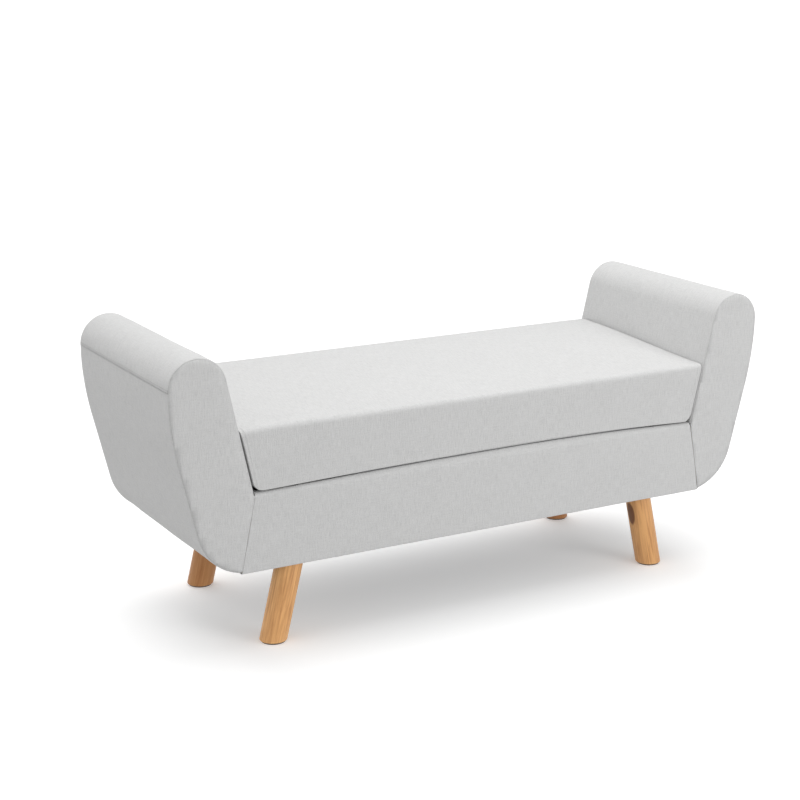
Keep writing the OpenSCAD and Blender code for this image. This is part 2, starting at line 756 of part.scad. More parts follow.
module stay_brackets() {
    color(steel_black) for (side = [-1, 1]) handed(side) stay_bracket();
}
module stay_base_screws() {
    color(zinc) for (side = [-1, 1])
        handed(side) at_stay_screws() screw(stay_screw_len, wood_screw_r, wood_screw_head);
}
module stay_bracket_screws() {
    color(zinc) at_flange_screws() screw(flange_screw_len, wood_screw_r, wood_screw_head);
}

handed(-1) arm_cover_wrap();  // armrest_left_cover_wrap
handed(-1) arm_cover_outer();  // armrest_left_cover_outer
handed(-1) arm_cover_flat(-1);  // armrest_left_cover_front
handed(-1) arm_cover_flat(1);  // armrest_left_cover_back
handed(-1) arm_foam();  // armrest_left_foam
handed(-1) arm_skin();  // armrest_left_skin
handed(-1) arm_board(-1);  // armrest_left_front_board
handed(-1) arm_board(1);  // armrest_left_back_board
handed(-1) arm_stretchers();  // armrest_left_stretchers
arm_cover_wrap();  // armrest_right_cover_wrap
arm_cover_outer();  // armrest_right_cover_outer
arm_cover_flat(-1);  // armrest_right_cover_front
arm_cover_flat(1);  // armrest_right_cover_back
arm_foam();  // armrest_right_foam
arm_skin();  // armrest_right_skin
arm_board(-1);  // armrest_right_front_board
arm_board(1);  // armrest_right_back_board
arm_stretchers();  // armrest_right_stretchers
armrest_screws();
armrest_bolts();
armrest_washers();
front_rail();
back_rail();
end_panel(-1);  // end_panel_left
end_panel(1);  // end_panel_right
frame_screws();
floor_panel();
floor_battens();
front_rail_foam();
front_rail_cover();
back_rail_cover();
box_lining();
dust_cover();
leg(-1, -1);  // leg_front_left
leg(1, -1);  // leg_front_right
leg(-1, 1);  // leg_back_left
leg(1, 1);  // leg_back_right
leg_bolts();
leg_plates();
leg_plate_screws();
leg_glides();
lid_board();
seat_foam();
seat_cover();
lid_lining();
lid_bumpers();
hinge_box_leaves();
hinge_lid_leaves();
hinge_pins();
hinge_box_screws();
hinge_lid_screws();
stay_bases();
handed(-1) color(steel_black) stay_arm();  // stay_arm_left
color(steel_black) stay_arm();  // stay_arm_right
handed(-1) color(steel_black) stay_link();  // stay_link_left
color(steel_black) stay_link();  // stay_link_right
stay_brackets();
stay_base_screws();
stay_bracket_screws();
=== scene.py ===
"""Visible pieces of an upholstered storage bench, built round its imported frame."""
import json
import math

import bmesh
import bpy
from bpy.props import FloatProperty, FloatVectorProperty, IntProperty, PointerProperty
from bpy.types import Operator, Panel, PropertyGroup
from mathutils import Matrix, Vector, noise
from mathutils.geometry import intersect_point_line
from mathutils.kdtree import KDTree


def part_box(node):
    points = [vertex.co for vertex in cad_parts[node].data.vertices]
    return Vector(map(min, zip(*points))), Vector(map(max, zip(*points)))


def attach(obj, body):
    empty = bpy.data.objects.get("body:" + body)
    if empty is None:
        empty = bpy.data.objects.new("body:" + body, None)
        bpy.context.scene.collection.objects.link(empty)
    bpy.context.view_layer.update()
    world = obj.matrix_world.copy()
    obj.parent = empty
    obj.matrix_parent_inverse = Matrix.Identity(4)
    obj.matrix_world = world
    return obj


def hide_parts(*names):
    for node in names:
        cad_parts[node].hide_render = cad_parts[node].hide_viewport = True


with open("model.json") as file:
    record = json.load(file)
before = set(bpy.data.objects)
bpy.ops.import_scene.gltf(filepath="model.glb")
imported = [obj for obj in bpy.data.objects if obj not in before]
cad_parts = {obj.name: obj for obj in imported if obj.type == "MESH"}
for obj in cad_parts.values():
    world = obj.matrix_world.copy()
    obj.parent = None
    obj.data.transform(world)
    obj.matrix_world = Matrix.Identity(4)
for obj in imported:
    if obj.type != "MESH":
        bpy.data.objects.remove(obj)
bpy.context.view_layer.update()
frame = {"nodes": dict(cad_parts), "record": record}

bl_info = {
    "name": "Storage Bench",
    "version": (1, 0, 0),
    "blender": (4, 5, 0),
    "location": "3D View > Sidebar > Bench",
    "description": "Builds the covers, cushion, legs and finishes of an upholstered storage bench",
    "category": "Object",
}

SIDES = (("left", -1), ("right", 1))
UP = Vector((0, 0, 1))
ACROSS = Vector((1, 0, 0))
STITCH_PITCH = 0.0055       # length of a stitch and its gap
SEAM_GAP = 0.0002           # between covers that are sewn together
PANEL_CELL = 0.014          # grid of an armrest's end panels
LARGE_FACE = 4e-5           # area above which a panel's face is cut again
BACK_LIP = 0.009            # cloth turned in along a back panel's seam with the rail
FOAM_INSET = 0.0034         # armrest foam in from its covers
FOAM_WALL = 0.003


def length_prop(name, description, default):
    return FloatProperty(name=name, description=description, default=default, min=0,
                         precision=4, unit="LENGTH")


def angle_prop(name, description, degrees):
    return FloatProperty(name=name, description=description, default=math.radians(degrees),
                         subtype="ANGLE")


def colour_prop(name, description, default):
    return FloatVectorProperty(name=name, description=description, default=default, size=4,
                               min=0, max=1, subtype="COLOR")


# ---- sizes and colours a user may change ----

class BenchShape(PropertyGroup):
    top_radius: length_prop("Armrest top radius", "Radius of the rolled armrest top", 0.056)
    side_radius: length_prop("Armrest side radius", "Radius of the outer face's upper curve", 0.566)
    foot_radius: length_prop("Armrest foot radius", "Radius of the outer face's lower curve", 0.105)
    inner_lean: angle_prop("Inner lean", "Lean of the armrest's inner face from upright", 12.8)
    outer_lean: angle_prop("Outer lean", "Lean of the armrest's outer face from upright", 14.0)
    seam_lean: angle_prop("Seam lean", "Lean of the seam between armrest and rail", 11.0)
    edge_round: length_prop("Edge rounding", "Rounding of the armrest covers at their end seams",
                            0.006)
    seam_round: length_prop("Seam rounding",
                            "Rounding of the covers at the armrest and rail seam", 0.0010)
    seam_depth: length_prop("Seam depth", "How far a seam is drawn in below the covers", 0.0008)
    panel_swell: length_prop("Panel swell", "Rise of an armrest end panel between its seams",
                             0.0014)
    hem_width: length_prop("Hem width", "Width of the stitched hem along the outer face", 0.0066)
    hem_rise: length_prop("Hem rise", "How far the stitched hem stands proud", 0.0004)
    softness: length_prop("Softness", "Depth of the padding's slow unevenness", 0.0010)
    cover_thickness: length_prop("Cover thickness", "Thickness of the cover fabric", 0.0012)
    rail_round: length_prop("Rail rounding", "Rounding of the front rail's padded top edge", 0.008)
    rail_swell: length_prop("Rail swell", "Rise of the rail padding under the seat's bowed edge",
                            0.0078)


class BenchSeat(PropertyGroup):
    edge_round: length_prop("Edge rounding", "Rounding of the long top edges", 0.010)
    corner_round: length_prop("Corner rounding", "Rounding of the ends", 0.006)
    base_round: length_prop("Base rounding", "Rounding of the long lower edges", 0.0025)
    foot_round: length_prop("Lower corner rounding", "Rounding of the ends' lower edges", 0.0155)
    crown: length_prop("Crown", "Rise of the seat at mid depth", 0.008)
    back_rise: length_prop("Back rise", "Rise of the seat's back edge over its front one", 0.017)
    pucker: length_prop("Pucker", "Depth of the dent at the front left corner", 0.0035)
    end_swell: length_prop("End swell", "How far each end swells towards its armrest", 0.0016)
    end_dip: length_prop("End dip", "Fall of the top beside its ends", 0.004)
    bow: length_prop("Bow", "Rise of the lower front edge at its highest", 0.010)
    seam_inset: length_prop("End seam inset", "End seams in from the ends of the seat", 0.008)
    seam_rise: length_prop("End seam rise", "How far an end seam stands proud", 0.0007)
    cell: length_prop("Cell", "Size of the cells of the seat's mesh", 0.011)
    swell_cap: length_prop("Swell cap", "Most that the filling moves the cover", 0.003)
    pressure: FloatProperty(name="Pressure", description="Filling pressure of the seat",
                            default=1.0, min=0)
    frames: IntProperty(name="Frames", description="Steps of the seat's cloth simulation",
                        default=20, min=2)


class BenchLegs(PropertyGroup):
    radius: length_prop("Radius", "Radius of a leg", 0.0255)
    lean: angle_prop("Lean", "Lean of each leg outward along the bench", 13.2)
    foot_round: length_prop("Foot rounding", "Rounding of a leg's lower edge", 0.0016)
    ring_pitch: length_prop("Ring pitch", "Distance between growth rings", 0.0042)


class BenchColours(PropertyGroup):
    fabric: colour_prop("Fabric", "Light yarn of the covers", (0.715, 0.715, 0.711, 1))
    fabric_shade: colour_prop("Fabric shade", "Dark yarn of the covers", (0.55, 0.55, 0.546, 1))
    foam: colour_prop("Foam", "Upholstery foam", (0.83, 0.74, 0.52, 1))
    ply: colour_prop("Plywood", "Face veneer", (0.62, 0.43, 0.25, 1))
    ply_shade: colour_prop("Plywood shade", "Dark grain of the veneer", (0.42, 0.26, 0.13, 1))
    pine: colour_prop("Pine", "Sawn battens", (0.72, 0.50, 0.27, 1))
    pine_shade: colour_prop("Pine shade", "Dark grain of the battens", (0.52, 0.30, 0.13, 1))
    hardboard: colour_prop("Hardboard", "Hardboard skins", (0.17, 0.085, 0.04, 1))
    leg: colour_prop("Leg wood", "Light wood of the legs", (0.88, 0.48, 0.19, 1))
    leg_shade: colour_prop("Leg grain", "Dark grain of the legs", (0.42, 0.17, 0.055, 1))
    # Mixed into each leg by its warmth share, making it darker and redder: the back legs most, the
    # right legs a little more than the left.
    leg_warm: colour_prop("Warm leg wood", "Redder wood that some legs lean to", (0.30, 0.105,
                          0.028, 1))
    lining: colour_prop("Lining", "Felted storage lining", (0.24, 0.24, 0.245, 1))
    dust_cloth: colour_prop("Dust cloth", "Cloth under the box", (0.012, 0.012, 0.013, 1))
    zinc: colour_prop("Zinc", "Plated steel", (0.60, 0.61, 0.62, 1))
    black_steel: colour_prop("Black steel", "Painted steel", (0.018, 0.018, 0.02, 1))
    rubber: colour_prop("Rubber", "Bumper rubber", (0.02, 0.02, 0.021, 1))
    glide: colour_prop("Glide plastic", "Plastic under the legs", (0.10, 0.075, 0.055, 1))


class BenchStage(PropertyGroup):
    eye: FloatVectorProperty(name="Camera place", description="Where the camera stands", size=3,
                             default=(-1.7245, -2.8562, 1.2443), subtype="TRANSLATION")
    yaw: FloatProperty(name="Yaw", description="Camera turn from +Y towards +X",
                       default=0.52504, subtype="ANGLE")
    pitch: FloatProperty(name="Pitch", description="Camera tilt below level",
                         default=0.25789, subtype="ANGLE")
    roll: FloatProperty(name="Roll", description="Camera roll", default=0.0069, subtype="ANGLE")
    lens: FloatProperty(name="Lens", description="Focal length", default=77.9,
                        subtype="DISTANCE_CAMERA")
    sky: FloatProperty(name="Sky strength", description="Strength of the even studio light",
                       default=0.635)
    sun: FloatProperty(name="Sun strength", description="Strength of the wide overhead light",
                       default=1.27)
    sun_tilt: angle_prop("Sun tilt", "Lean of the wide light towards the front", -28.0)
    sun_lean: angle_prop("Sun lean", "Lean of the wide light towards the right", 3.0)
    sun_spread: angle_prop("Sun spread", "Angular size of the wide light", 55.0)
    bounce: FloatProperty(name="Bounce strength", default=0.30,
                          description="Strength of the low light from the left")
    bounce_lean: angle_prop("Bounce lean", "Lean of the low light from overhead", -75.0)
    fill: FloatProperty(name="Fill power", description="Power of the light to the front right",
                        default=40.0, unit="POWER")
    fill_place: FloatVectorProperty(name="Fill place", description="Middle of the fill light",
                                    size=3, default=(1.6, -3.4, 1.1), subtype="TRANSLATION")
    fill_size: length_prop("Fill size", "Side of the fill light", 1.8)
    softbox: FloatProperty(name="Softbox power", description="Power of the light over the seat",
                           default=4.6, unit="POWER")
    softbox_place: FloatVectorProperty(name="Softbox place", description="Middle of the softbox",
                                       size=3, default=(0.2, -0.2, 1.55), subtype="TRANSLATION")
    softbox_size: length_prop("Softbox size", "Longer side of the softbox", 2.0)
    floor_glow: FloatProperty(name="Floor glow", description="Light that the floor gives off",
                              default=0.27)
    floor_size: length_prop("Floor size", "Side of the floor", 120.0)
    floor: colour_prop("Floor", "Floor of the studio", (0.90, 0.90, 0.90, 1))


def settings(name):
    return getattr(bpy.context.scene, "bench_" + name)


# ---- materials ----

class Wire:
    """A socket of a material's tree. Arithmetic on it adds Math nodes."""

    def __init__(self, tree, socket):
        self.tree, self.socket = tree, socket

    def math(self, operation, *values, clamp=False):
        node = self.tree.nodes.new("ShaderNodeMath")
        node.operation, node.use_clamp = operation, clamp
        for slot, value in zip(node.inputs, values):
            if isinstance(value, Wire):
                self.tree.links.new(value.socket, slot)
            else:
                slot.default_value = value
        return Wire(self.tree, node.outputs[0])

    def __add__(self, other):
        return self.math("ADD", self, other)

    def __sub__(self, other):
        return self.math("SUBTRACT", self, other)

    def __rsub__(self, other):
        return self.math("SUBTRACT", other, self)

    def __mul__(self, other):
        return self.math("MULTIPLY", self, other)

    def __pow__(self, other):
        return self.math("POWER", self, other)

    __radd__, __rmul__ = __add__, __mul__

    def sin(self):
        return self.math("SINE", self)

    def abs(self):
        return self.math("ABSOLUTE", self)

    def clamped(self):
        return self.math("ADD", self, 0, clamp=True)

    def ramp(self, low, high):
        """0 below low, 1 above high."""
        return self.math("MULTIPLY", self - low, 1 / (high - low), clamp=True)


class Finish:
    """One procedural material: a Principled shader and the nodes that feed it."""

    def __init__(self, name, **constants):
        self.material = bpy.data.materials.new(name)
        self.material.use_nodes = True
        self.tree = self.material.node_tree
        self.shader = self.tree.nodes["Principled BSDF"]
        self.shade(**constants)

    def add(self, kind, choices=None, inputs=None, output=0):
        """Adds a node: its choices first, then its sockets' values or links."""
        node = self.tree.nodes.new(kind)
        for key, value in (choices or {}).items():
            setattr(node, key, value)
        for key, value in (inputs or {}).items():
            self.join(value, node.inputs[key])
        return Wire(self.tree, node.outputs[output])

    def join(self, value, socket):
        if isinstance(value, Wire):
            self.tree.links.new(value.socket, socket)
        else:
            socket.default_value = value

    def shade(self, **values):
        """Sets or links the shader's sockets, named with _ for a space."""
        for key, value in values.items():
            self.join(value, self.shader.inputs[key.replace("_", " ")])

    def place(self):
        return self.add("ShaderNodeTexCoord", output=3)

    def weave(self):
        return self.add("ShaderNodeUVMap", {"uv_map": "weave"})

    def attribute(self, name, output=1):
        return self.add("ShaderNodeAttribute", {"attribute_name": name}, output=output)

    def parts(self, vector):
        node = self.tree.nodes.new("ShaderNodeSeparateXYZ")
        self.join(vector, node.inputs[0])
        return [Wire(self.tree, out) for out in node.outputs]

    def stretch(self, vector, scale):
        return self.add("ShaderNodeVectorMath", {"operation": "MULTIPLY"}, {0: vector, 1: scale})

    def noise(self, vector, scale=1.0, detail=2.0, roughness=0.5, distortion=0.0):
        return self.add("ShaderNodeTexNoise", inputs={
            "Vector": vector, "Scale": scale, "Detail": detail, "Roughness": roughness,
            "Distortion": distortion})

    def mix(self, factor, one, other):
        return self.add("ShaderNodeMix", {"data_type": "RGBA"}, {0: factor, 6: one, 7: other}, 2)

    def bump(self, height, distance, strength=1.0):
        self.shade(Normal=self.add("ShaderNodeBump", inputs={
            "Height": height, "Distance": distance, "Strength": strength}))


def linen(name, stitches=()):
    """Light woven cover cloth. stitches are runs, in the weave's second direction, sewn over."""
    colours = settings("colours")
    cloth = Finish(name, Sheen_Weight=0.12, Sheen_Roughness=0.5, Specular_IOR_Level=0.25)
    weave = cloth.weave()
    wander = cloth.noise(weave, 90, 2)
    across, along, _ = cloth.parts(weave)
    turn = 2250      # radians to the metre: a thread every 2.8 mm
    warp = (across * turn + wander * 5).sin()
    weft = (along * turn - wander * 5).sin()
    thread = warp * weft
    slub_warp = cloth.noise(cloth.stretch(weave, (560, 55, 1)), 1, 2)
    slub_weft = cloth.noise(cloth.stretch(weave, (45, 560, 1)), 1, 2)
    fleck = cloth.noise(weave, 560, 3, 0.7)
    cloud = cloth.noise(weave, 14, 3)
    tone = (0.24 + (slub_warp - 0.5) * 1.25 + (slub_weft - 0.5) * 0.7 + (fleck - 0.5) * 1.9
            + (cloud - 0.5) * 0.25 + thread * 0.10)
    height = thread * 0.3 + slub_warp * 1.0 + slub_weft * 0.35 + fleck * 1.3
    for run in stitches:
        line = 1 - ((along - run).abs()).ramp(0.0002, 0.0006)
        dash = (across * (2 * math.pi / STITCH_PITCH)).sin().ramp(-0.6, -0.2)
        height = height + line * dash * 2.0 - line * (1 - dash) * 2.0
        # Painted shade: the sunk gaps between stitches are darkened as well as lowered.
        tone = tone + line * (1 - dash) * 0.5
    cloth.shade(Base_Color=cloth.mix(tone.clamped(), colours.fabric, colours.fabric_shade),
                Roughness=0.84 + 0.12 * fleck)
    cloth.bump(height, 0.0008, 1.0)
    return cloth.material


def leg_timber(name):
    """Clear-lacquered wood, its grain along the leg."""
    colours, legs = settings("colours"), settings("legs")
    wood = Finish(name, Coat_Weight=0.10, Coat_Roughness=0.35, Specular_IOR_Level=0.35)
    grain = wood.attribute("grain")
    drift = wood.noise(wood.stretch(grain, (9, 9, 2.2)), 1, 2)
    east, north, _ = wood.parts(grain)
    radius = (east * east + north * north) ** 0.5
    rings = ((radius + drift * 0.02) * (2 * math.pi / legs.ring_pitch)).sin()
    streak = wood.noise(wood.stretch(grain, (240, 240, 11)), 1, 5, 0.65, 0.4)
    pore = wood.noise(wood.stretch(grain, (1500, 1500, 60)), 1, 3, 0.65)
    patch = wood.noise(wood.stretch(grain, (30, 30, 9)), 1, 2)
    knot_x, knot_y, knot_z = wood.parts(wood.attribute("knot"))
    knot = 1 - (((knot_x * knot_x + knot_y * knot_y + knot_z * knot_z) ** 0.5)
                + (streak - 0.5) * 0.3).ramp(0.82, 1.05)
    tone = (0.28 + rings * 0.06 + (streak - 0.5) * 2.2 + (patch - 0.5) * 1.2
            + pore.ramp(0.60, 0.74) * 0.4)
    base = wood.mix(tone.clamped(), colours.leg, colours.leg_shade)
    # Darker, redder colour mixed in by a share set per leg, largest on the back legs.
    base = wood.mix(wood.attribute("warmth", 2), base, colours.leg_warm)
    wood.shade(Base_Color=wood.mix(knot * 0.9, base, (0.14, 0.045, 0.014, 1)),
               Roughness=0.40 + 0.15 * pore)
    wood.bump(rings * 0.12 - pore.ramp(0.60, 0.74) * 0.8 + streak * 0.4, 0.00025, 0.6)
    return wood.material


def sawn_timber(name, light, dark, pitch, roughness):
    """Boards and battens, their grain along the bench."""
    wood = Finish(name, Specular_IOR_Level=0.3)
    place = wood.place()
    streak = wood.noise(wood.stretch(place, (6, 150, 150)), 1, 4, 0.6, 0.6)
    pore = wood.noise(wood.stretch(place, (30, 900, 900)), 1, 2)
    _, _, height = wood.parts(place)
    layers = (height * (2 * math.pi / pitch)).sin()
    tone = 0.35 + (streak - 0.5) * 1.5 + (pore - 0.5) * 0.5 + layers * 0.08
    wood.shade(Base_Color=wood.mix(tone.clamped(), light, dark),
               Roughness=roughness + (pore - 0.5) * 0.2)
    wood.bump(streak + pore, 0.0003, 0.4)
    return wood.material


def speckled(name, colour, scale, contrast, roughness, relief, metallic=0.0, specular=0.5):
    """An even finish with its own fine speckle: metal, rubber, plastic, foam or felt."""
    finish = Finish(name, Metallic=metallic, Specular_IOR_Level=specular)
    place = finish.place()
    fine = finish.noise(place, scale, 4, 0.65)
    broad = finish.noise(place, scale / 14, 2)
    tone = 0.5 + (fine - 0.5) * 1.6 + (broad - 0.5) * 0.9
    darker = tuple(c * (1 - contrast) for c in colour[:3]) + (1,)
    finish.shade(Base_Color=finish.mix(tone.clamped(), colour, darker),
                 Roughness=roughness + (fine - 0.5) * 0.3)
    finish.bump(fine, relief, 0.6)
    return finish.material


def pressed_felt(name, colour, pitch):
    """Non-woven cloth with a grid of pressed dots and loose fibres."""
    felt = Finish(name, Sheen_Weight=0.2, Specular_IOR_Level=0.2)
    place = felt.place()
    fibre = felt.noise(place, 900, 5, 0.75, 1.5)
    cloud = felt.noise(place, 30, 3)
    x, y, z = felt.parts(place)
    turn = 2 * math.pi / pitch
    dots = ((x * turn).sin() * (y * turn + z * turn).sin()).ramp(0.35, 0.8)
    tone = 0.5 + (fibre - 0.5) * 1.4 + (cloud - 0.5) * 0.6 + dots * 0.15
    felt.shade(Base_Color=felt.mix(tone.clamped(), colour,
                                   tuple(c * 0.6 for c in colour[:3]) + (1,)),
               Roughness=0.95 - 0.15 * dots)
    felt.bump(fibre - dots * 0.8, 0.0004, 0.6)
    return felt.material


def finishes():
    """Each of the record's material slots and the finish made for it."""
    if "linen" not in bpy.data.materials:
        c = settings("colours")
        linen("linen")
        speckled("foam", c.foam, 900, 0.12, 0.95, 0.0005, specular=0.2)
        sawn_timber("plywood", c.ply, c.ply_shade, 0.0024, 0.6)
        sawn_timber("pine", c.pine, c.pine_shade, 0.009, 0.65)
        speckled("hardboard", c.hardboard, 700, 0.35, 0.6, 0.0002)
        leg_timber("leg_timber")
        pressed_felt("lining_felt", c.lining, 0.006)
        pressed_felt("dust_cloth", c.dust_cloth, 0.0025)
        speckled("zinc", c.zinc, 260, 0.25, 0.36, 0.00005, metallic=1.0)
        speckled("black_steel", c.black_steel, 1100, 0.3, 0.42, 0.00006)
        speckled("rubber", c.rubber, 800, 0.3, 0.75, 0.0001)
        speckled("glide_plastic", c.glide, 600, 0.2, 0.5, 0.0001)
    names = {"upholstery_fabric": "linen", "upholstery_foam": "foam", "plywood": "plywood",
             "pine_batten": "pine", "hardboard": "hardboard", "leg_wood": "leg_timber",
             "box_lining": "lining_felt", "dust_cloth": "dust_cloth", "zinc_steel": "zinc",
             "black_steel": "black_steel", "bumper_rubber": "rubber",
             "glide_plastic": "glide_plastic"}
    return {slot: bpy.data.materials[name] for slot, name in names.items()}


# ---- shared shaping ----

def soft_noise(point, scale, seed):
    return noise.noise(Vector(point) / scale + Vector((seed * 7.3, seed * 3.1, seed * 5.7)))


def smooth_step(value, low, high):
    t = min(max((value - low) / (high - low), 0), 1)
    return t * t * (3 - 2 * t)


def round_edges(bm, edges, offset, segments, **more):
    return bmesh.ops.bevel(bm, geom=edges, offset=offset, offset_type="OFFSET", segments=segments,
                           profile=0.5, affect="EDGES", material=-1, **more)


def cut(bm, place, normal, dist, **more):
    """Cuts the whole mesh with a plane."""
    bmesh.ops.bisect_plane(bm, geom=bm.verts[:] + bm.edges[:] + bm.faces[:], dist=dist,
                           plane_co=place, plane_no=normal, **more)


def cut_grid(bm, low, high, step):
    """Cuts the mesh with planes along each axis, so that it can bend."""
    for axis in range(3):
        normal = Vector((0, 0, 0))
        normal[axis] = 1
        count = int((high[axis] - low[axis]) / step)
        for i in range(count + 2):
            place = Vector(low)
            place[axis] += (high[axis] - low[axis]) * i / (count + 1)
            cut(bm, place, normal, 1e-4)


def edges_of(made):
    return [g for g in made if isinstance(g, bmesh.types.BMEdge)]


def verts_of(made):
    return [g for g in made if isinstance(g, bmesh.types.BMVert)]


def face_away(bm, point):
    """Turns an open sheet's faces away from a point inside it."""
    bmesh.ops.recalc_face_normals(bm, faces=bm.faces)
    if sum(f.normal.dot(f.calc_center_median() - point) * f.calc_area() for f in bm.faces) < 0:
        bmesh.ops.reverse_faces(bm, faces=bm.faces)


def add_object(bm, name):
    """Puts a finished bmesh into the scene as an object."""
    mesh = bpy.data.meshes.new(name)
    bm.to_mesh(mesh)
    bm.free()
    made = bpy.data.objects.new(name, mesh)
    bpy.context.scene.collection.objects.link(made)
    return made


def finish_piece(bm, name, body, slot, replaced=(), thickness=0.0, material=None):
    """Makes the mesh an object, rides it on its body and gives it its finish."""
    piece = add_object(bm, name)
    piece.data.shade_smooth()
    piece.data.materials.append(material or finishes()[slot])
    if thickness:
        wall = piece.modifiers.new("thickness", "SOLIDIFY")
        wall.thickness, wall.offset = thickness, -1
    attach(piece, body)
    if replaced:
        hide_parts(*replaced)
    return piece


class Outline:
    """A chain drawn in the X-Z plane, with each point's outward direction and its run."""

    def __init__(self, start, out):
        self.bm = bmesh.new()
        self.tip = self.bm.verts.new(start)
        self.points, self.outs, self.runs = [Vector(start)], [Vector(out)], [0.0]

    def extend(self):
        self.tip = bmesh.ops.extrude_vert_indiv(self.bm, verts=[self.tip])["verts"][0]

    def note(self, out):
        self.runs.append(self.runs[-1] + (self.tip.co - self.points[-1]).length)
        self.points.append(self.tip.co.copy())
        self.outs.append(out)

    def line(self, end, steps):
        move = (Vector(end) - self.tip.co) / steps
        for _ in range(steps):
            self.extend()
            bmesh.ops.translate(self.bm, verts=[self.tip], vec=move)
            self.note(self.outs[-1].copy())

    def arc(self, centre, angle, steps):
        turn = Matrix.Rotation(angle / steps, 3, "Y")
        for _ in range(steps):
            self.extend()
            bmesh.ops.rotate(self.bm, verts=[self.tip], cent=centre, matrix=turn)
            self.note(turn @ self.outs[-1])

    def strip(self, rows):
        """Extrudes the chain along Y through rows of (y, inset). Each point keeps its station."""
        bm = self.bm.copy()
        station = bm.verts.layers.int.new("station")
        bm.verts.ensure_lookup_table()
        for number, vert in enumerate(bm.verts):
            vert[station] = number
            vert.co += Vector((0, rows[0][0], 0)) - self.outs[number] * rows[0][1]
        edges = list(bm.edges)
        for (y0, inset0), (y1, inset1) in zip(rows, rows[1:]):
            made = bmesh.ops.extrude_edge_only(bm, edges=edges)["geom"]
            edges, verts = edges_of(made), verts_of(made)
            bmesh.ops.translate(bm, verts=verts, vec=(0, y1 - y0, 0))
            for vert in verts:
                vert.co -= self.outs[vert[station]] * (inset1 - inset0)
        return bm


def map_strip(bm, outline, offset=0.0):
    """Lays the weave on a strip: across the rows, and along the outline's run."""
    station = bm.verts.layers.int["station"]
    weave = bm.loops.layers.uv.new("weave")
    for face in bm.faces:
        for loop in face.loops:
            loop[weave].uv = (loop.vert.co.y + offset, outline.runs[loop.vert[station]])


def seam_sink(round_by):
    """How far a cover's edge lies below its faces, half way round its rounding."""
    share = math.sqrt(0.5)
    return round_by * (1 - share) + settings("shape").seam_depth * share


def rows_between(seam_row, half, round_by, turns, step):
    """Rows of (y, inset) from the seam at -half, round its rounding, to the one at +half."""
    start = [seam_row]
    for degrees in turns:
        a = math.radians(degrees)
        start.append((-half + round_by * (1 - math.cos(a)), round_by * (1 - math.sin(a))))
    first, span = start[-1][0], 2 * (half - round_by)
    count = round(span / step)
    middle = [(first + span * i / count, 0) for i in range(1, count)]
    return start + middle + [(-y, inset) for y, inset in reversed(start)]


def edge_rows(half, round_by, step):
    """Rows of an armrest's cover between its end seams."""
    sunk = seam_sink(round_by)
    return rows_between((-half + sunk, sunk), half, round_by, (52, 60, 70, 80, 90), step)


# ---- armrests ----

class ArmrestForm:
    """The right armrest's outline, from its tuck over the top to its foot."""

    def __init__(self):
        shape = settings("shape")
        _, wrap_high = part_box("armrest_right_cover_wrap")
        outer_low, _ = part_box("armrest_right_cover_outer")
        _, panel_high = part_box("end_panel_right")
        self.half = -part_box("armrest_right_cover_front")[0].y
        self.tuck = Vector((panel_high.x, 0, panel_high.z))
        self.top = Vector((wrap_high.x - shape.top_radius, 0, wrap_high.z - shape.top_radius))
        self.side = Vector((wrap_high.x - shape.side_radius, 0, self.top.z))
        self.low = outer_low.z
        box_low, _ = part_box("front_rail_cover")
        lean, side_r, foot_r = shape.outer_lean, shape.side_radius, shape.foot_radius
        side_end = self.side + side_r * Vector((math.cos(lean), 0, -math.sin(lean)))
        foot_z = box_low.z + foot_r
        self.foot_start = Vector((0, 0, foot_z - foot_r * math.sin(lean)))
        self.foot_start.x = side_end.x - (side_end.z - self.foot_start.z) * math.tan(lean)
        self.foot = Vector((self.foot_start.x - foot_r * math.cos(lean), 0, foot_z))
        slope = math.tan(shape.seam_lean)
        # where the foot's curve meets the leaning seam: the lower root of a quadratic
        k = self.tuck.x + (self.tuck.z - self.foot.z) * slope - self.foot.x
        a = 1 + slope * slope
        u = (k * slope - math.sqrt(k * k * slope * slope - a * (k * k - foot_r * foot_r))) / a
        self.foot_end = math.atan2(u, k - slope * u)

    def start_wrap(self):
        lean = settings("shape").inner_lean
        return Outline(self.tuck, (-math.cos(lean), 0, math.sin(lean)))

    def draw_wrap(self, outline):
        shape = settings("shape")
        lean, radius = shape.inner_lean, shape.top_radius
        hem = shape.hem_width * 1.5 / radius
        outline.line(self.top + radius * Vector((-math.cos(lean), 0, math.sin(lean))), 22)
        outline.arc(self.top, math.pi - lean - hem, 56)
        outline.arc(self.top, hem, 12)

    def start_outer(self):
        return Outline(self.top + ACROSS * settings("shape").top_radius, ACROSS)

    def draw_outer(self, outline):
        shape = settings("shape")
        first = 0.012 / shape.side_radius
        outline.arc(self.side, first, 8)
        outline.arc(self.side, shape.outer_lean - first, 14)
        outline.line(self.foot_start, 14)
        outline.arc(self.foot, -self.foot_end - shape.outer_lean, 30)

    def whole(self):
        """The full outline, closed along the seam with the rail."""
        outline = self.start_wrap()
        self.draw_wrap(outline)
        self.draw_outer(outline)
        self.seam_from = len(outline.points)
        lean = settings("shape").seam_lean
        outline.outs[-1] = Vector((-math.cos(lean), 0, -math.sin(lean)))
        outline.line(self.tuck, 24)
        return outline


def cover_softness(bm, outline, half, seed, extra=None):
    """Presses a cover in and out by slow noise that dies away at its seams."""
    station = bm.verts.layers.int["station"]
    soft = settings("shape").softness
    for vert in bm.verts:
        number = vert[station]
        run = outline.runs[number]
        to_seam = min(half - abs(vert.co.y), run, outline.runs[-1] - run)
        lift = soft * smooth_step(to_seam, 0.002, 0.03) * (
            soft_noise(vert.co, 0.11, seed) * 0.8 + soft_noise(vert.co, 0.035, seed) * 0.25)
        if extra:
            lift += extra(vert.co, run)
        vert.co += outline.outs[number] * lift


def handed(bm, side):
    if side < 0:
        bmesh.ops.scale(bm, vec=(-1, 1, 1), verts=bm.verts)
        bmesh.ops.reverse_faces(bm, faces=bm.faces)


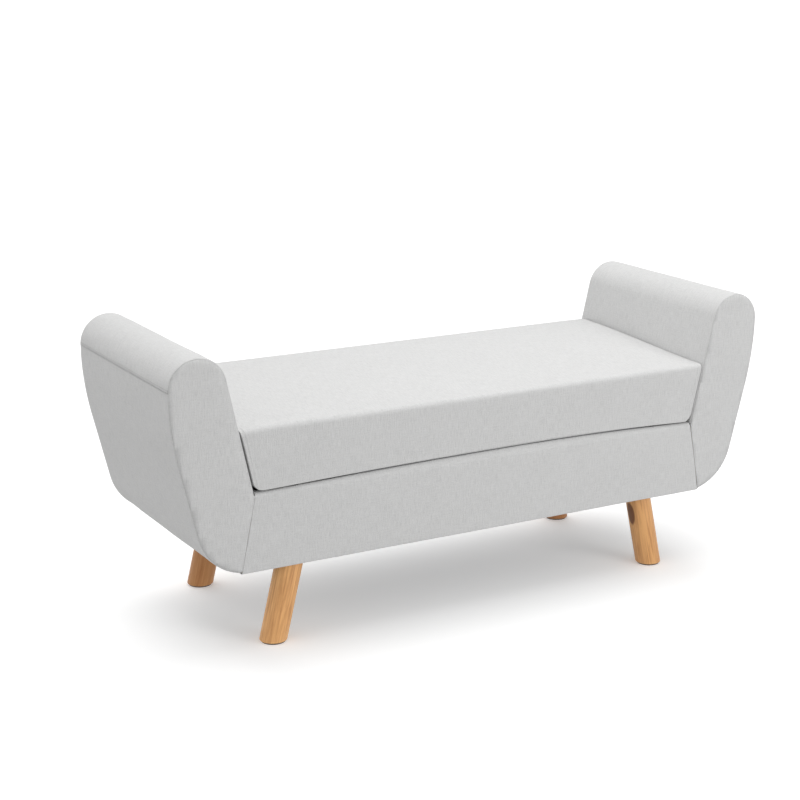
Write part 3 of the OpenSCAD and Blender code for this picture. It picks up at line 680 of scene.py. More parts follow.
def build_wrap(form, word, side):
    shape = settings("shape")
    outline = form.start_wrap()
    form.draw_wrap(outline)
    bm = outline.strip(edge_rows(form.half, shape.edge_round, 0.009))
    total = outline.runs[-1]

    def hem(point, run):
        back, blend, width = total - run, 0.0008, shape.hem_width
        inside = smooth_step(form.half - abs(point.y), shape.edge_round * 0.7,
                             shape.edge_round * 1.6)
        band = smooth_step(back, width + blend, width - blend)
        groove = math.exp(-((back - width - blend) / 0.0009) ** 2)
        turn_in = smooth_step(back, 0.0009, 0.0)
        return inside * (shape.hem_rise * band - 0.0003 * groove - 0.0005 * turn_in)

    cover_softness(bm, outline, form.half, 1.0 + side, hem)
    map_strip(bm, outline, 0.03 * side)
    face_away(bm, form.top)
    handed(bm, side)
    stitches = (total - shape.hem_width + 0.0012, total - 0.0016)
    material = bpy.data.materials.get("linen_hemmed") or linen("linen_hemmed", stitches)
    finish_piece(bm, f"armrest_{word}_wrap", "base", "upholstery_fabric",
                 (f"armrest_{word}_cover_wrap",), shape.cover_thickness, material)


def build_outer(form, word, side):
    shape = settings("shape")
    outline = form.start_outer()
    form.draw_outer(outline)
    bm = outline.strip(edge_rows(form.half, shape.edge_round, 0.006))

    def puckers(point, run):
        tucked = -0.0003 * smooth_step(run, 0.004, 0.0)
        fade = math.exp(-run / 0.022)
        ripple = soft_noise((point.y, 0, run * 0.1), 0.012, 3.0 + side)
        hollow = -0.0006 * math.exp(-((run - 0.008) / 0.008) ** 2)
        return tucked + hollow + 0.0012 * fade * ripple

    cover_softness(bm, outline, form.half, 5.0 + side, puckers)
    map_strip(bm, outline, 0.05 * side)
    face_away(bm, form.top - UP * 0.1)
    handed(bm, side)
    finish_piece(bm, f"armrest_{word}_outer", "base", "upholstery_fabric",
                 (f"armrest_{word}_cover_outer",), shape.cover_thickness)


def build_end(form, word, side, end, end_word):
    """A flat end panel: a face on the outline, ringed, cut to a grid and then rounded."""
    shape = settings("shape")
    outline = form.whole()
    rounds = [shape.edge_round] * form.seam_from + [shape.seam_round] * (
        len(outline.points) - form.seam_from)
    bm = outline.bm.copy()
    station = bm.verts.layers.int.new("station")
    bm.verts.ensure_lookup_table()
    start_share = 1 - math.sin(math.radians(36))
    for number, vert in enumerate(bm.verts):
        vert[station] = number
        vert.co -= outline.outs[number] * rounds[number] * start_share
    bmesh.ops.remove_doubles(bm, verts=bm.verts, dist=0.0012)
    face = bmesh.ops.contextual_create(bm, geom=bm.edges)["faces"][0]
    for thickness in (0.0006, 0.0007, 0.0008, 0.0009, 0.0012):
        bmesh.ops.inset_region(bm, faces=[face], thickness=thickness, use_even_offset=True)

    def cut_middle(middle, place, normal):
        rims = {e for f in middle for e in f.edges} | {v for f in middle for v in f.verts}
        bmesh.ops.bisect_plane(bm, geom=middle + list(rims), dist=1e-5, plane_co=place,
                               plane_no=normal)

    low_x, high_x = form.tuck.x - 0.02, form.top.x + shape.top_radius + 0.01
    for i in range(round((high_x - low_x) / PANEL_CELL) + 1):
        middle = [f for f in bm.faces if len(f.verts) > 4 or f.calc_area() > LARGE_FACE]
        cut_middle(middle, (low_x + PANEL_CELL * i, 0, 0), (1, 0, 0))
    for i in range(1, 29):
        middle = [f for f in bm.faces if f.calc_area() > LARGE_FACE]
        cut_middle(middle, (0, 0, form.low + PANEL_CELL * i), (0, 0, 1))

    tree = KDTree(len(outline.points))
    for number, point in enumerate(outline.points):
        tree.insert(point, number)
    tree.balance()
    count = len(outline.points)

    def depth_below(point):
        _, near, _ = tree.find(point)
        best, best_segment = 1.0, near
        for first in (near - 2, near - 1, near, near + 1):
            one, other = outline.points[first % count], outline.points[(first + 1) % count]
            foot, share = intersect_point_line(point, one, other)
            foot = one if share < 0 else other if share > 1 else foot
            if (point - foot).length < best:
                best, best_segment = (point - foot).length, first % count
        return best, rounds[min(best_segment + 1, count - 1)]

    rail_side = outline.outs[-1]
    weave = bm.loops.layers.uv.new("weave")
    for face in bm.faces:
        for loop in face.loops:
            loop[weave].uv = (loop.vert.co.x + 0.3 * end, loop.vert.co.z)
    for vert in bm.verts:
        depth, radius = depth_below(vert.co)
        to_rail = abs((vert.co - form.tuck).dot(rail_side))
        raised = math.exp(-to_rail / 0.02) if end < 0 else 0
        under = max(radius - depth, 0)
        fall = radius - math.sqrt(max(radius * radius - under * under, 0))
        swell = shape.panel_swell * max(1 - math.exp(-max(depth - radius, 0) / 0.03), raised)
        soft = 0.9 * shape.softness * smooth_step(depth, 0.003, 0.03) * (
            soft_noise(vert.co, 0.09, 9 + side + 2 * end)
            + 0.3 * soft_noise(vert.co, 0.03, 4 + end))
        vert.co.y = -form.half + fall - swell - soft
    rim = [e for e in bm.edges if e.is_boundary]
    made = bmesh.ops.extrude_edge_only(bm, edges=rim)["geom"]
    for vert in verts_of(made):
        number = vert[station]
        sunk = seam_sink(rounds[number])
        on_seam = form.seam_from <= number < count - 1
        vert.co = outline.points[number] - outline.outs[number] * (SEAM_GAP if on_seam else sunk)
        vert.co.y = -form.half + (0.0006 - shape.panel_swell if on_seam and end < 0 else sunk)
    if end > 0:
        lip = [e for e in bm.edges if e.is_boundary
               and min(v[station] for v in e.verts) >= form.seam_from - 1]
        made = bmesh.ops.extrude_edge_only(bm, edges=lip)["geom"]
        bmesh.ops.translate(bm, verts=verts_of(made), vec=(0, BACK_LIP, 0))
    face_away(bm, form.top - UP * 0.1)
    if end > 0:
        bmesh.ops.scale(bm, vec=(1, -1, 1), verts=bm.verts)
        bmesh.ops.reverse_faces(bm, faces=bm.faces)
    handed(bm, side)
    finish_piece(bm, f"armrest_{word}_{end_word}", "base", "upholstery_fabric",
                 (f"armrest_{word}_cover_{end_word}",), shape.cover_thickness)


def build_armrest_foam(form, word, side):
    """The foam under the covers, set in from them all round."""
    outline = form.whole()
    bm = outline.bm.copy()
    for number, vert in enumerate(list(bm.verts)):
        vert.co -= outline.outs[number] * FOAM_INSET
    bmesh.ops.remove_doubles(bm, verts=bm.verts, dist=0.0015)
    face = bmesh.ops.contextual_create(bm, geom=bm.edges)["faces"][0]
    bmesh.ops.translate(bm, verts=bm.verts, vec=(0, -form.half + FOAM_INSET, 0))
    made = bmesh.ops.extrude_face_region(bm, geom=[face])["geom"]
    bmesh.ops.translate(bm, verts=verts_of(made), vec=(0, 2 * (form.half - FOAM_INSET), 0))
    bmesh.ops.recalc_face_normals(bm, faces=bm.faces)
    rims = [e for e in bm.edges if len(e.link_faces) == 2
            and any(len(f.verts) > 4 for f in e.link_faces)]
    round_edges(bm, rims, 0.003, 2)
    handed(bm, side)
    finish_piece(bm, f"armrest_{word}_padding", "base", "upholstery_foam",
                 (f"armrest_{word}_foam",), FOAM_WALL)


class BENCH_OT_armrests(Operator):
    """Covers and padding of both armrests"""
    bl_idname = "bench.armrests"
    bl_label = "Armrests"

    def execute(self, context):
        form = ArmrestForm()
        for word, side in SIDES:
            build_wrap(form, word, side)
            build_outer(form, word, side)
            build_end(form, word, side, -1, "front")
            build_end(form, word, side, 1, "back")
            build_armrest_foam(form, word, side)
        return {"FINISHED"}


# ---- rails ----

def rail_rows(half, step):
    """Rows along a rail, sunk at its two seams."""
    shape = settings("shape")
    lip = shape.seam_round
    seam_row = (-half + SEAM_GAP, lip * 0.3 + shape.seam_depth * 0.4)
    return rows_between(seam_row, half, lip, (48, 62, 76, 90), step)


def rail_cover(outline, half, top, seed, swell=None):
    """A rail's cover, drawn with its outer face to +X and then turned to face its side."""
    shape = settings("shape")
    bm = outline.strip(rail_rows(half, 0.012))
    slope = math.tan(shape.seam_lean)
    cover_softness(bm, outline, half, seed, swell)
    for vert in bm.verts:
        vert.co.y *= 1 + (top - vert.co.z) * slope / half
    map_strip(bm, outline, seed)
    return bm


def face_side(bm, inside_x, quarter):
    """Faces a rail's drawn cover outward and turns it a quarter to its side of the bench."""
    face_away(bm, Vector((inside_x, 0, 0.23)))
    bmesh.ops.rotate(bm, verts=bm.verts, matrix=Matrix.Rotation(quarter * math.pi / 2, 3, "Z"))


def seat_bow(x):
    """Height of the seat's lower front edge above its ends, as a share of its highest."""
    span, peak = 0.474, 0.119
    reach = span - peak if x > peak else span + peak
    return max(1 - ((x - peak) / reach) ** 2, 0) ** 1.15


class BENCH_OT_rail_covers(Operator):
    """Covers of the front and back rails and the front rail's padding"""
    bl_idname = "bench.rail_covers"
    bl_label = "Rail covers"

    def execute(self, context):
        shape = settings("shape")
        low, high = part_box("front_rail_cover")
        _, panel_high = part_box("end_panel_right")
        seam_top, half = panel_high.z, panel_high.x
        face, inner, radius, under = -low.y, -high.y, shape.rail_round, 0.003

        def front_outline(d):
            outline = Outline((inner, 0, high.z - d), UP)
            outline.line((face - radius, 0, high.z - d), 8)
            outline.arc((face - radius, 0, high.z - radius), math.pi / 2, 8)
            outline.line((face - d, 0, low.z + under + d), 16)
            outline.arc((face - under - d, 0, low.z + under + d), math.pi / 2, 4)
            outline.line((inner, 0, low.z + d), 4)
            return outline

        def front_swell(point, run):
            return 0.0012 * math.exp(-((point.z - 0.23) / 0.06) ** 2)

        bm = rail_cover(front_outline(0), half, seam_top, 0.37, front_swell)
        for vert in bm.verts:
            depth = face - vert.co.x
            if vert.co.z > high.z - 0.03:
                ramp = smooth_step(depth, -0.001, 0.0075) * smooth_step(depth, 0.0105, 0.0080)
                vert.co.z += shape.rail_swell * seat_bow(vert.co.y) * ramp
        face_side(bm, (face + inner) / 2, -1)
        finish_piece(bm, "rail_front_cover", "base", "upholstery_fabric", ("front_rail_cover",),
                     shape.cover_thickness)

        foam_inset, end_inset, foam_wall = 0.0026, 0.002, 0.0035
        bm = rail_cover(front_outline(foam_inset), half - end_inset, seam_top, 0.9)
        face_side(bm, (face + inner) / 2, -1)
        finish_piece(bm, "rail_front_padding", "base", "upholstery_foam", ("front_rail_foam",),
                     foam_wall)

        low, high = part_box("back_rail_cover")
        face, inner, edge = high.y, low.y, 0.0025
        outline = Outline((inner, 0, high.z), UP)
        outline.line((face - edge, 0, high.z), 3)
        outline.arc((face - edge, 0, high.z - edge), math.pi / 2, 4)
        outline.line((face, 0, low.z + edge), 16)
        outline.arc((face - edge, 0, low.z + edge), math.pi / 2, 4)
        outline.line((inner, 0, low.z), 3)

        def back_swell(point, run):
            return -0.0006 if point.z > 0.29 else 0

        bm = rail_cover(outline, half, seam_top, 0.61, back_swell)
        face_side(bm, (face + inner) / 2, 1)
        finish_piece(bm, "rail_back_cover", "base", "upholstery_fabric", ("back_rail_cover",),
                     shape.cover_thickness)
        return {"FINISHED"}


# ---- seat ----

class SeatForm:
    """The seat's box: its ends lean out with the armrests."""

    def __init__(self):
        self.low, self.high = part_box("seat_cover")
        self.slope = math.tan(settings("shape").inner_lean)
        height = self.high.z - self.low.z
        self.foot_x = self.high.x - height * self.slope + settings("seat").end_swell
        self.edge_z = self.low.z + 0.117      # height of the front's top edge
        self.mid_y = (self.low.y + self.high.y) / 2
        self.half_y = (self.high.y - self.low.y) / 2

    def end_x(self, z):
        return self.foot_x + (z - self.low.z) * self.slope

    def block(self, inset, cell=0.0):
        """A rounded block, its faces set in from the seat's and cut into cells."""
        seat = settings("seat")
        bm = bmesh.new()
        bmesh.ops.create_cube(bm, size=2)
        z0, z1 = self.low.z + inset, self.edge_z - inset
        half = Vector((self.high.x, self.half_y - inset, (z1 - z0) / 2))
        middle = Vector((0, self.mid_y, (z0 + z1) / 2))
        bmesh.ops.scale(bm, vec=half, verts=bm.verts)
        bmesh.ops.translate(bm, vec=middle, verts=bm.verts)
        if cell:
            margin = Vector.Fill(3, seat.edge_round * 1.7)
            cut_grid(bm, middle - half + margin, middle + half - margin, cell)
        for vert in bm.verts:
            vert.co.x *= (self.end_x(vert.co.z) - inset) / self.high.x

        low_z = self.low.z + inset + 0.001

        def sharp(axis=None, low=False):
            """Sharp edges; with an axis, those along it that are low down, or not."""
            edges = [e for e in bm.edges if e.calc_face_angle() > math.radians(40)]
            if axis is None:
                return edges
            return [e for e in edges
                    if abs((e.verts[0].co - e.verts[1].co).normalized()[axis]) > 0.9
                    and (e.verts[0].co.z < low_z if low else e.verts[0].co.z > low_z)]

        round_edges(bm, sharp(0), seat.edge_round, 5, clamp_overlap=True)
        round_edges(bm, sharp(1, True), seat.foot_round, 4, clamp_overlap=True)
        round_edges(bm, sharp(0, True), seat.base_round, 2, clamp_overlap=True)
        round_edges(bm, sharp(), seat.corner_round, 3, clamp_overlap=True)
        return bm

    def crown(self, verts):
        """Crowns the top, bows the lower front edge and dents the front left corner."""
        seat = settings("seat")
        corner = Vector((-self.end_x(self.edge_z), self.low.y, self.edge_z))
        for vert in verts:
            x, y, z = vert.co
            up = smooth_step(z, self.low.z + 0.02, self.edge_z)
            across = max(1 - ((y - self.mid_y) / self.half_y) ** 2, 0)
            end = smooth_step(self.end_x(z) - abs(x), 0.07, 0.0)
            back = seat.back_rise * smooth_step(y, self.low.y, self.high.y)
            front = smooth_step(y, self.low.y + 0.0085, self.low.y + 0.0015)
            down = smooth_step(z, self.low.z + 0.06, self.low.z)
            vert.co.z += up * (across * (seat.crown * (1 - 0.4 * end) - seat.end_dip * end) + back)
            vert.co.z += seat.bow * seat_bow(x) * front * down
            away = (vert.co - corner).length
            vert.co.z -= seat.pucker * math.exp(-(away / 0.024) ** 2)


def evaluated_copy(piece, name):
    """A new mesh with the piece's modifiers applied."""
    graph = bpy.context.evaluated_depsgraph_get()
    mesh = bpy.data.meshes.new_from_object(piece.evaluated_get(graph), depsgraph=graph)
    mesh.name = name
    return mesh


def swell(piece, form):
    """Fills the seat: cloth under pressure, held at its base and its end seams."""
    seat = settings("seat")
    start = [v.co.copy() for v in piece.data.vertices]
    hold = piece.vertex_groups.new(name="hold")
    for number, point in enumerate(start):
        seam = abs(form.end_x(point.z) - seat.seam_inset - abs(point.x))
        pinned = max(smooth_step(point.z, form.low.z + 0.018, form.low.z + 0.008),
                     0.9 * smooth_step(seam, 0.006, 0.002),
                     smooth_step(abs(point.x), form.end_x(point.z) - 0.004, form.end_x(point.z)))
        hold.add([number], pinned, "REPLACE")
    cloth = piece.modifiers.new("filling", "CLOTH")
    cloth.settings.use_pressure = True
    cloth.settings.uniform_pressure_force = seat.pressure
    cloth.settings.effector_weights.gravity = 0
    cloth.settings.vertex_group_mass = "hold"
    cloth.settings.quality = 5
    cloth.point_cache.frame_start, cloth.point_cache.frame_end = 1, seat.frames
    scene = bpy.context.scene
    for number in range(1, seat.frames + 1):
        scene.frame_set(number)
    filled = evaluated_copy(piece, "filled")
    for vert, first, last in zip(piece.data.vertices, start, filled.vertices):
        move = last.co - first
        if move.length > seat.swell_cap:
            move *= seat.swell_cap / move.length
        vert.co = first + move
    piece.modifiers.remove(cloth)
    piece.vertex_groups.remove(hold)
    bpy.data.meshes.remove(filled)
    scene.frame_set(1)


def sew_ends(bm, form):
    """Cuts a loop round each end and raises it as a sewn ridge between two fine dips."""
    seat, lean = settings("seat"), settings("shape").inner_lean
    normal = Vector((math.cos(lean), 0, -math.sin(lean)))
    for side in (-1, 1):
        plane_no = Vector((side * normal.x, 0, normal.z))
        place = Vector((side * (form.foot_x - seat.seam_inset), 0, form.low.z))
        for shift in (-0.0034, -0.0018, -0.0007, 0.0007, 0.0018, 0.0034):
            cut(bm, place + plane_no * shift, plane_no, 0.00025)
        bm.normal_update()
        moves = []
        for vert in bm.verts:
            off = (vert.co - place).dot(plane_no)
            if abs(off) < 0.006 and vert.co.z > form.low.z + 0.004:
                ridge = math.exp(-(off / 0.0011) ** 2)
                dips = 0.55 * math.exp(-((abs(off) - 0.0026) / 0.0013) ** 2)
                moves.append((vert, vert.normal * (seat.seam_rise * (ridge - dips))))
        for vert, move in moves:
            vert.co += move


def map_seat(bm, form):
    """Lays the weave over the top, down the front and back, and on each end."""
    weave = bm.loops.layers.uv.new("weave")
    for face in bm.faces:
        n = face.normal
        for loop in face.loops:
            x, y, z = loop.vert.co
            if abs(n.x) > 0.8:
                loop[weave].uv = (y, z)
            elif n.y < -abs(n.z):
                loop[weave].uv = (x, form.low.y - (form.edge_z - z))
            elif n.y > abs(n.z):
                loop[weave].uv = (x, form.high.y + (form.edge_z - z))
            else:
                loop[weave].uv = (x, y)


class BENCH_OT_seat(Operator):
    """The seat cushion and its foam"""
    bl_idname = "bench.seat"
    bl_label = "Seat cushion"

    def execute(self, context):
        form, seat = SeatForm(), settings("seat")
        bm = form.block(0.0003, seat.cell * (1))
        blank = add_object(bm, "seat_blank")
        form.crown(blank.data.vertices)
        swell(blank, form)
        fine = blank.modifiers.new("fine", "SUBSURF")
        fine.levels = fine.render_levels = 1
        bm = bmesh.new()
        bm.from_mesh(evaluated_copy(blank, "seat_fine"))
        bpy.data.objects.remove(blank)
        sew_ends(bm, form)
        map_seat(bm, form)
        finish_piece(bm, "seat_cushion", "lid", "upholstery_fabric", ("seat_cover",))

        self.base_wrap(form)
        bm = form.block(0.007)
        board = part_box("lid_board")[1].z
        cut(bm, (0, 0, board), (0, 0, -1), 1e-5, clear_outer=True)
        rim = [e for e in bm.edges if e.is_boundary]
        bmesh.ops.contextual_create(bm, geom=rim)
        bmesh.ops.recalc_face_normals(bm, faces=bm.faces)
        finish_piece(bm, "seat_padding", "lid", "upholstery_foam", ("seat_foam",))
        return {"FINISHED"}

    def base_wrap(self, form):
        """Cloth drawn round the lid board's front edge, behind the bowed cover. Its dark lining
        cloth is painted shade that darkens the gap under the seat's bowed edge.
        """
        low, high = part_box("lid_board")
        out, under, top, bend = 0.0016, 0.0012, high.z + 0.004, 0.002
        outline = Outline((-low.y - 0.016, 0, top), UP)
        outline.line((-low.y + out - bend, 0, top), 2)
        outline.arc((-low.y + out - bend, 0, top - bend), math.pi / 2, 3)
        outline.line((-low.y + out, 0, low.z - under + bend), 3)
        outline.arc((-low.y + out - bend, 0, low.z - under + bend), math.pi / 2, 3)
        outline.line((-low.y - 0.016, 0, low.z - under), 4)
        half = high.x + out
        bm = outline.strip([(-half + 2 * half * i / 60, 0) for i in range(61)])
        cover_softness(bm, outline, half, 0.8)
        map_strip(bm, outline)
        face_away(bm, Vector((-low.y - 0.012, 0, (low.z + high.z) / 2)))
        bmesh.ops.rotate(bm, verts=bm.verts, matrix=Matrix.Rotation(-math.pi / 2, 3, "Z"))
        # The dark lining cloth here is painted shade: it darkens the gap under the seat's bowed
        # front edge.
        finish_piece(bm, "seat_base_wrap", "lid", "box_lining", thickness=0.0008)


# ---- linings and dust cloth ----

def staple(bm, place, along, down, width=0.011, wire=0.0011):
    """A staple's crown, sunk a little into the cloth. down is the way out of the board."""
    verts = bmesh.ops.create_cube(bm, size=1)["verts"]
    bmesh.ops.scale(bm, vec=(width, wire, wire), verts=verts)
    turn = Matrix((along, down.cross(along), down)).transposed()
    bmesh.ops.rotate(bm, verts=verts, matrix=turn)
    bmesh.ops.translate(bm, verts=verts, vec=place + down * wire * 0.3)
    edges = list(dict.fromkeys(e for v in verts for e in v.link_edges))
    round_edges(bm, edges, wire * 0.3, 1)


def staple_ring(bm, low, high, z, pitch, seed):
    """Staples along the four sides of a rectangle, seen from below."""
    corners = [Vector((low[0], low[1], z)), Vector((high[0], low[1], z)),
               Vector((high[0], high[1], z)), Vector((low[0], high[1], z))]
    for number, start in enumerate(corners):
        staple_row(bm, start, corners[(number + 1) % 4], pitch, -UP, seed + number)


def staple_row(bm, start, end, pitch, down, seed):
    """Staples from start to end, each a little out of line."""
    run = end - start
    count = max(round(run.length / pitch), 1)
    along = run.normalized()
    for i in range(count):
        place = start + run * ((i + 0.5) / count)
        tilt = Matrix.Rotation(0.22 * soft_noise((i * 0.37, seed, 0), 0.3, seed), 3, down)
        staple(bm, place, tilt @ along, down)


class BENCH_OT_linings(Operator):
    """Storage lining, lid lining, dust cloth and their staples"""
    bl_idname = "bench.linings"
    bl_label = "Linings"

    def execute(self, context):
        self.storage()
        self.under_lid()
        self.under_box()
        return {"FINISHED"}

    def storage(self):
        low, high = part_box("box_lining")
        thick, panel = 0.001, high.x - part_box("end_panel_right")[0].x
        x, y0, y1 = high.x - panel - thick, low.y + thick, high.y - thick
        z0, z1 = low.z + thick, high.z
        bm = bmesh.new()
        cube = bmesh.ops.create_cube(bm, size=2)["verts"]
        bmesh.ops.scale(bm, vec=(x, (y1 - y0) / 2, (z1 - z0) / 2), verts=cube)
        bmesh.ops.translate(bm, vec=(0, (y0 + y1) / 2, (z0 + z1) / 2), verts=cube)
        top = max(bm.faces, key=lambda f: f.calc_center_median().z)
        bmesh.ops.delete(bm, geom=[top], context="FACES_ONLY")
        folds = [e for e in bm.edges if not e.is_boundary]
        round_edges(bm, folds, 0.005, 3)
        for side in (-1, 1):
            rim = [e for e in bm.edges if e.is_boundary
                   and all(abs(v.co.x - side * x) < 1e-4 for v in e.verts)]
            made = bmesh.ops.extrude_edge_only(bm, edges=rim)["geom"]
            bmesh.ops.translate(bm, vec=(side * (panel + thick - 0.0004), 0, 0),
                                verts=verts_of(made))
        cut_grid(bm, (-x, y0, z0), (x, y1, z1), 0.024)
        bmesh.ops.recalc_face_normals(bm, faces=bm.faces)
        floor = min(bm.faces, key=lambda f: f.calc_center_median().z)
        if floor.normal.z < 0:
            bmesh.ops.reverse_faces(bm, faces=bm.faces)
        bm.normal_update()
        for vert, normal in [(v, v.normal.copy()) for v in bm.verts]:
            give = 0.5 + 0.5 * soft_noise(vert.co, 0.07, 2.0)
            vert.co -= normal * 0.0006 * give
        finish_piece(bm, "storage_lining", "base", "box_lining", ("box_lining",), thick)

    def under_lid(self):
        low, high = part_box("lid_lining")
        edge, face, thick = 0.012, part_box("seat_cover")[0].z, 0.0009
        x, y0 = high.x + edge, low.y - edge
        y1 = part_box("hinge_lid_leaves")[0].y - 0.004
        bm = bmesh.new()
        bmesh.ops.create_grid(bm, x_segments=78, y_segments=30, size=1)
        bmesh.ops.scale(bm, vec=(x, (y1 - y0) / 2, 1), verts=bm.verts)
        bmesh.ops.translate(bm, vec=(0, (y0 + y1) / 2, face - thick), verts=bm.verts)
        bmesh.ops.reverse_faces(bm, faces=bm.faces)
        for vert in bm.verts:
            rim = min(x - abs(vert.co.x), vert.co.y - y0, y1 - vert.co.y)
            sag = smooth_step(rim, 0.004, 0.03)
            pull = 0.25 * math.sin(vert.co.x * 130) * math.exp(-rim / 0.012)
            vert.co.z += 0.0004 * (soft_noise(vert.co, 0.06, 6.0) * sag + pull)
        lining = finish_piece(bm, "lid_cloth", "lid", "box_lining", ("lid_lining",), thick)
        bm = bmesh.new()
        inset = 0.006
        staple_ring(bm, (-x + inset, y0 + inset), (x - inset, y1 - inset), face - 0.0012, 0.045,
                    0.2)
        finish_piece(bm, "lid_staples", "lid", "zinc_steel")

    def under_box(self):
        node = frame["nodes"]["dust_cover"]
        low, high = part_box("dust_cover")
        bm = bmesh.new()
        bm.from_mesh(node.data)
        bmesh.ops.remove_doubles(bm, verts=bm.verts, dist=1e-6)
        bmesh.ops.dissolve_limit(bm, angle_limit=0.01, verts=bm.verts, edges=bm.edges)
        cut_grid(bm, low, high, 0.02)
        for vert in bm.verts:
            vert.co.z -= 0.0006 * (0.5 + 0.5 * soft_noise((vert.co.x, vert.co.y, 0), 0.08, 8.0))
        bmesh.ops.recalc_face_normals(bm, faces=bm.faces)
        finish_piece(bm, "dust_cloth", "base", "dust_cloth", ("dust_cover",))
        bm = bmesh.new()
        inset = 0.007
        staple_ring(bm, (low.x + inset, low.y + inset), (high.x - inset, high.y - inset),
                    low.z - 0.0007, 0.06, 4.2)
        finish_piece(bm, "dust_cloth_staples", "base", "zinc_steel")


# ---- legs ----

class BENCH_OT_legs(Operator):
    """Four splayed round legs"""
    bl_idname = "bench.legs"
    bl_label = "Legs"

    def execute(self, context):
        legs = settings("legs")
        for end_word, end in (("front", -1), ("back", 1)):
            for word, side in SIDES:
                self.leg(legs, f"leg_{end_word}_{word}", side, end)
        return {"FINISHED"}

    def leg(self, legs, node, side, end):
        low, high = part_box(node)
        glide_top, mid_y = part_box("leg_glides")[1].z, (low.y + high.y) / 2
        lean, radius = legs.lean, legs.radius
        length = (high.z - radius * math.sin(lean)) / math.cos(lean)
        top_x = (high.x if side < 0 else low.x) + side * radius * math.cos(lean)
        foot = Vector((top_x + side * length * math.sin(lean), mid_y, 0))
        tilt = Matrix.Rotation(-side * lean, 3, "Y")
        bm = bmesh.new()
        bmesh.ops.create_cone(bm, cap_ends=True, segments=64, radius1=radius, radius2=radius,
                              depth=length + radius)
        bmesh.ops.translate(bm, verts=bm.verts, vec=(0, 0, (length - radius) / 2))
        top_rim = [e for e in bm.edges if e.calc_face_angle(0) > 1 and e.verts[0].co.z > 0
                   and e.verts[1].co.z > 0]
        round_edges(bm, top_rim, 0.0012, 2)
        bmesh.ops.rotate(bm, verts=bm.verts, matrix=tilt)
        bmesh.ops.translate(bm, verts=bm.verts, vec=foot)
        cut(bm, (0, 0, glide_top), (0, 0, -1), 1e-6, clear_outer=True)
        bmesh.ops.contextual_create(bm, geom=[e for e in bm.edges if e.is_boundary])
        foot_rim = [e for e in bm.edges if all(abs(v.co.z - glide_top) < 1e-5 for v in e.verts)]
        round_edges(bm, foot_rim, legs.foot_round, 3)
        bmesh.ops.recalc_face_normals(bm, faces=bm.faces)
        grain = bm.verts.layers.float_vector.new("grain")
        knot = bm.verts.layers.float_vector.new("knot")
        warmth = bm.verts.layers.float.new("warmth")
        heart = Vector((0.031 + 0.006 * end, 0.012 * side, 0.4 * side + 0.9 * end + 2))
        back = tilt.transposed()
        has_knot = node == "leg_front_right"
        knot_place = Vector((-radius * 0.97, -radius * 0.10, length * 0.74))
        for vert in bm.verts:
            local = back @ (vert.co - foot)
            vert[grain] = local + heart
            # Share of the darker, redder leg colour, set per leg: most on the back legs, more on
            # the right than the left.
            vert[warmth] = 0.10 + 0.10 * side + 0.31 * (end + 1)
            away = local - knot_place
            vert[knot] = (Vector((away.x / 0.014, away.y / 0.0105, away.z / 0.027)) if has_knot
                          else Vector((9, 9, 9)))
        piece = finish_piece(bm, f"{node}_turned", "base", "leg_wood", (node,))
        piece.data.set_sharp_from_angle(angle=math.radians(35))


# ---- CAD pieces that keep their shape ----

class BENCH_OT_frame_finishes(Operator):
    """Wood, metal, rubber and plastic finishes on the frame's own pieces"""
    bl_idname = "bench.frame_finishes"
    bl_label = "Frame finishes"

    def execute(self, context):
        made = finishes()
        for part in frame["record"]["subparts"]:
            node = frame["nodes"][part["node"]]
            node.data.materials.clear()
            node.data.materials.append(made[part["material_slot"]])
        return {"FINISHED"}


# ---- stage ----

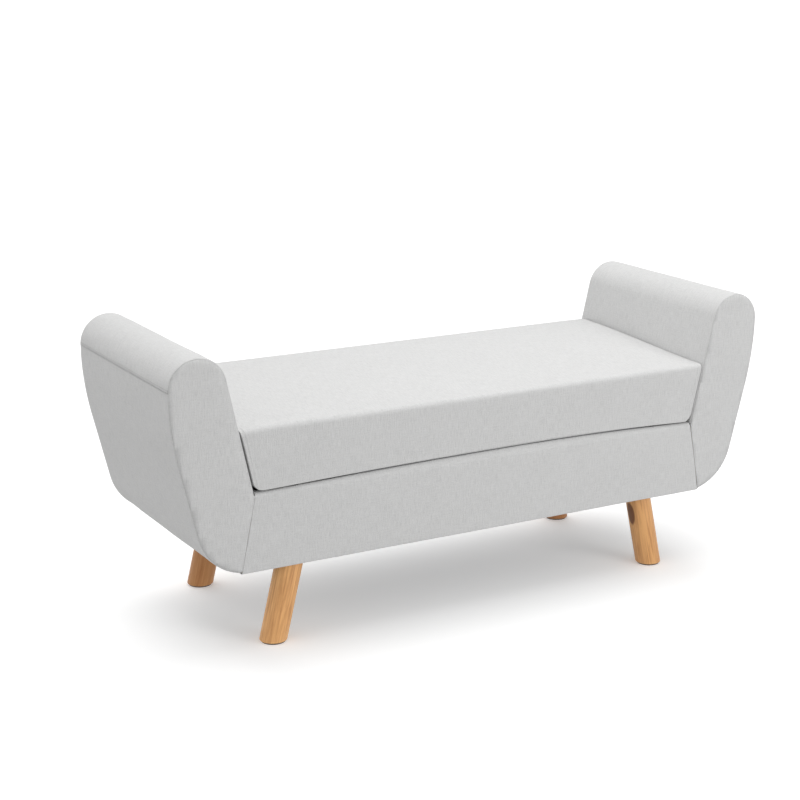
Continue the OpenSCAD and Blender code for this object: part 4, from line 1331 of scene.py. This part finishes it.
class BENCH_OT_stage(Operator):
    """Pale floor, soft studio light and the camera"""
    bl_idname = "bench.stage"
    bl_label = "Stage"

    def execute(self, context):
        stage, scene = settings("stage"), context.scene
        bm = bmesh.new()
        bmesh.ops.create_grid(bm, x_segments=1, y_segments=1, size=stage.floor_size / 2)
        floor = add_object(bm, "studio_floor")
        floor.visible_diffuse = False
        paper = Finish("floor_paper", Roughness=0.95, Specular_IOR_Level=0.0,
                       Emission_Color=(1, 1, 1, 1), Emission_Strength=stage.floor_glow)
        mottle = paper.noise(paper.place(), 3, 2)
        darker = tuple(c * 0.995 for c in stage.floor[:3]) + (1,)
        paper.shade(Base_Color=paper.mix(mottle, stage.floor, darker))
        floor.data.materials.append(paper.material)

        world = bpy.data.worlds.new("studio")
        scene.world = world
        world.use_nodes = True
        sky = world.node_tree.nodes["Background"].inputs
        sky["Color"].default_value, sky["Strength"].default_value = (1, 1, 1, 1), stage.sky

        self.lamp("sun", "SUN", stage.sun, (0, 0, 3), (stage.sun_tilt, stage.sun_lean, 0),
                  angle=stage.sun_spread)
        self.lamp("bounce", "SUN", stage.bounce, (-3, 0, 1), (0, stage.bounce_lean, 0),
                  angle=stage.sun_spread)
        self.lamp("softbox", "AREA", stage.softbox, stage.softbox_place, (0, 0, 0),
                  shape="RECTANGLE", size=stage.softbox_size, size_y=stage.softbox_size / 2)
        to_bench = Vector((0, 0, 0.3)) - Vector(stage.fill_place)
        self.lamp("fill", "AREA", stage.fill, stage.fill_place,
                  to_bench.to_track_quat("-Z", "Y").to_euler(), size=stage.fill_size)

        ahead = Vector((math.sin(stage.yaw) * math.cos(stage.pitch),
                        math.cos(stage.yaw) * math.cos(stage.pitch), -math.sin(stage.pitch)))
        level = Vector((math.cos(stage.yaw), -math.sin(stage.yaw), 0))
        above = level.cross(ahead)
        right = level * math.cos(stage.roll) + above * math.sin(stage.roll)
        above = right.cross(ahead)
        camera = bpy.data.objects.new("camera", bpy.data.cameras.new("camera"))
        camera.data.lens, camera.data.sensor_width = stage.lens, 36
        camera.data.clip_end = 500
        turn = Matrix((right, above, -ahead)).transposed().to_4x4()
        camera.matrix_world = Matrix.Translation(stage.eye) @ turn
        scene.collection.objects.link(camera)
        scene.camera = camera
        scene.view_settings.view_transform = "Standard"
        return {"FINISHED"}

    def lamp(self, name, kind, energy, place, turn, **values):
        light = bpy.data.lights.new(name, kind)
        light.energy = energy
        for key, value in values.items():
            setattr(light, key, value)
        lamp = bpy.data.objects.new(name, light)
        lamp.location, lamp.rotation_euler = place, turn
        lamp.visible_camera = False
        bpy.context.scene.collection.objects.link(lamp)


# ---- add-on ----

OPERATORS = (BENCH_OT_stage, BENCH_OT_frame_finishes, BENCH_OT_armrests, BENCH_OT_rail_covers,
             BENCH_OT_seat, BENCH_OT_linings, BENCH_OT_legs)
GROUPS = (BenchShape, BenchSeat, BenchLegs, BenchColours, BenchStage)


def scene_name(group):
    """The scene's name for a group: BenchSeat is bench_seat."""
    return "bench_" + group.__name__[5:].lower()


class BENCH_PT_panel(Panel):
    """Lists the bench's sizes, colours and pieces"""
    bl_idname = "BENCH_PT_panel"
    bl_label = "Storage Bench"
    bl_space_type = "VIEW_3D"
    bl_region_type = "UI"
    bl_category = "Bench"

    def draw(self, context):
        for group in GROUPS:
            box = self.layout.box()
            owner = getattr(context.scene, scene_name(group))
            for key in group.__annotations__:
                box.prop(owner, key)
        for operator in OPERATORS:
            self.layout.operator(operator.bl_idname)


def register():
    for cls in GROUPS + OPERATORS + (BENCH_PT_panel,):
        bpy.utils.register_class(cls)
    for group in GROUPS:
        setattr(bpy.types.Scene, scene_name(group), PointerProperty(type=group))


def unregister():
    for group in GROUPS:
        delattr(bpy.types.Scene, scene_name(group))
    for cls in reversed(GROUPS + OPERATORS + (BENCH_PT_panel,)):
        bpy.utils.unregister_class(cls)


def main():
    register()
    for operator in OPERATORS:
        group, action = operator.bl_idname.split(".")
        getattr(getattr(bpy.ops, group), action)()


if __name__ == "__main__":
    main()
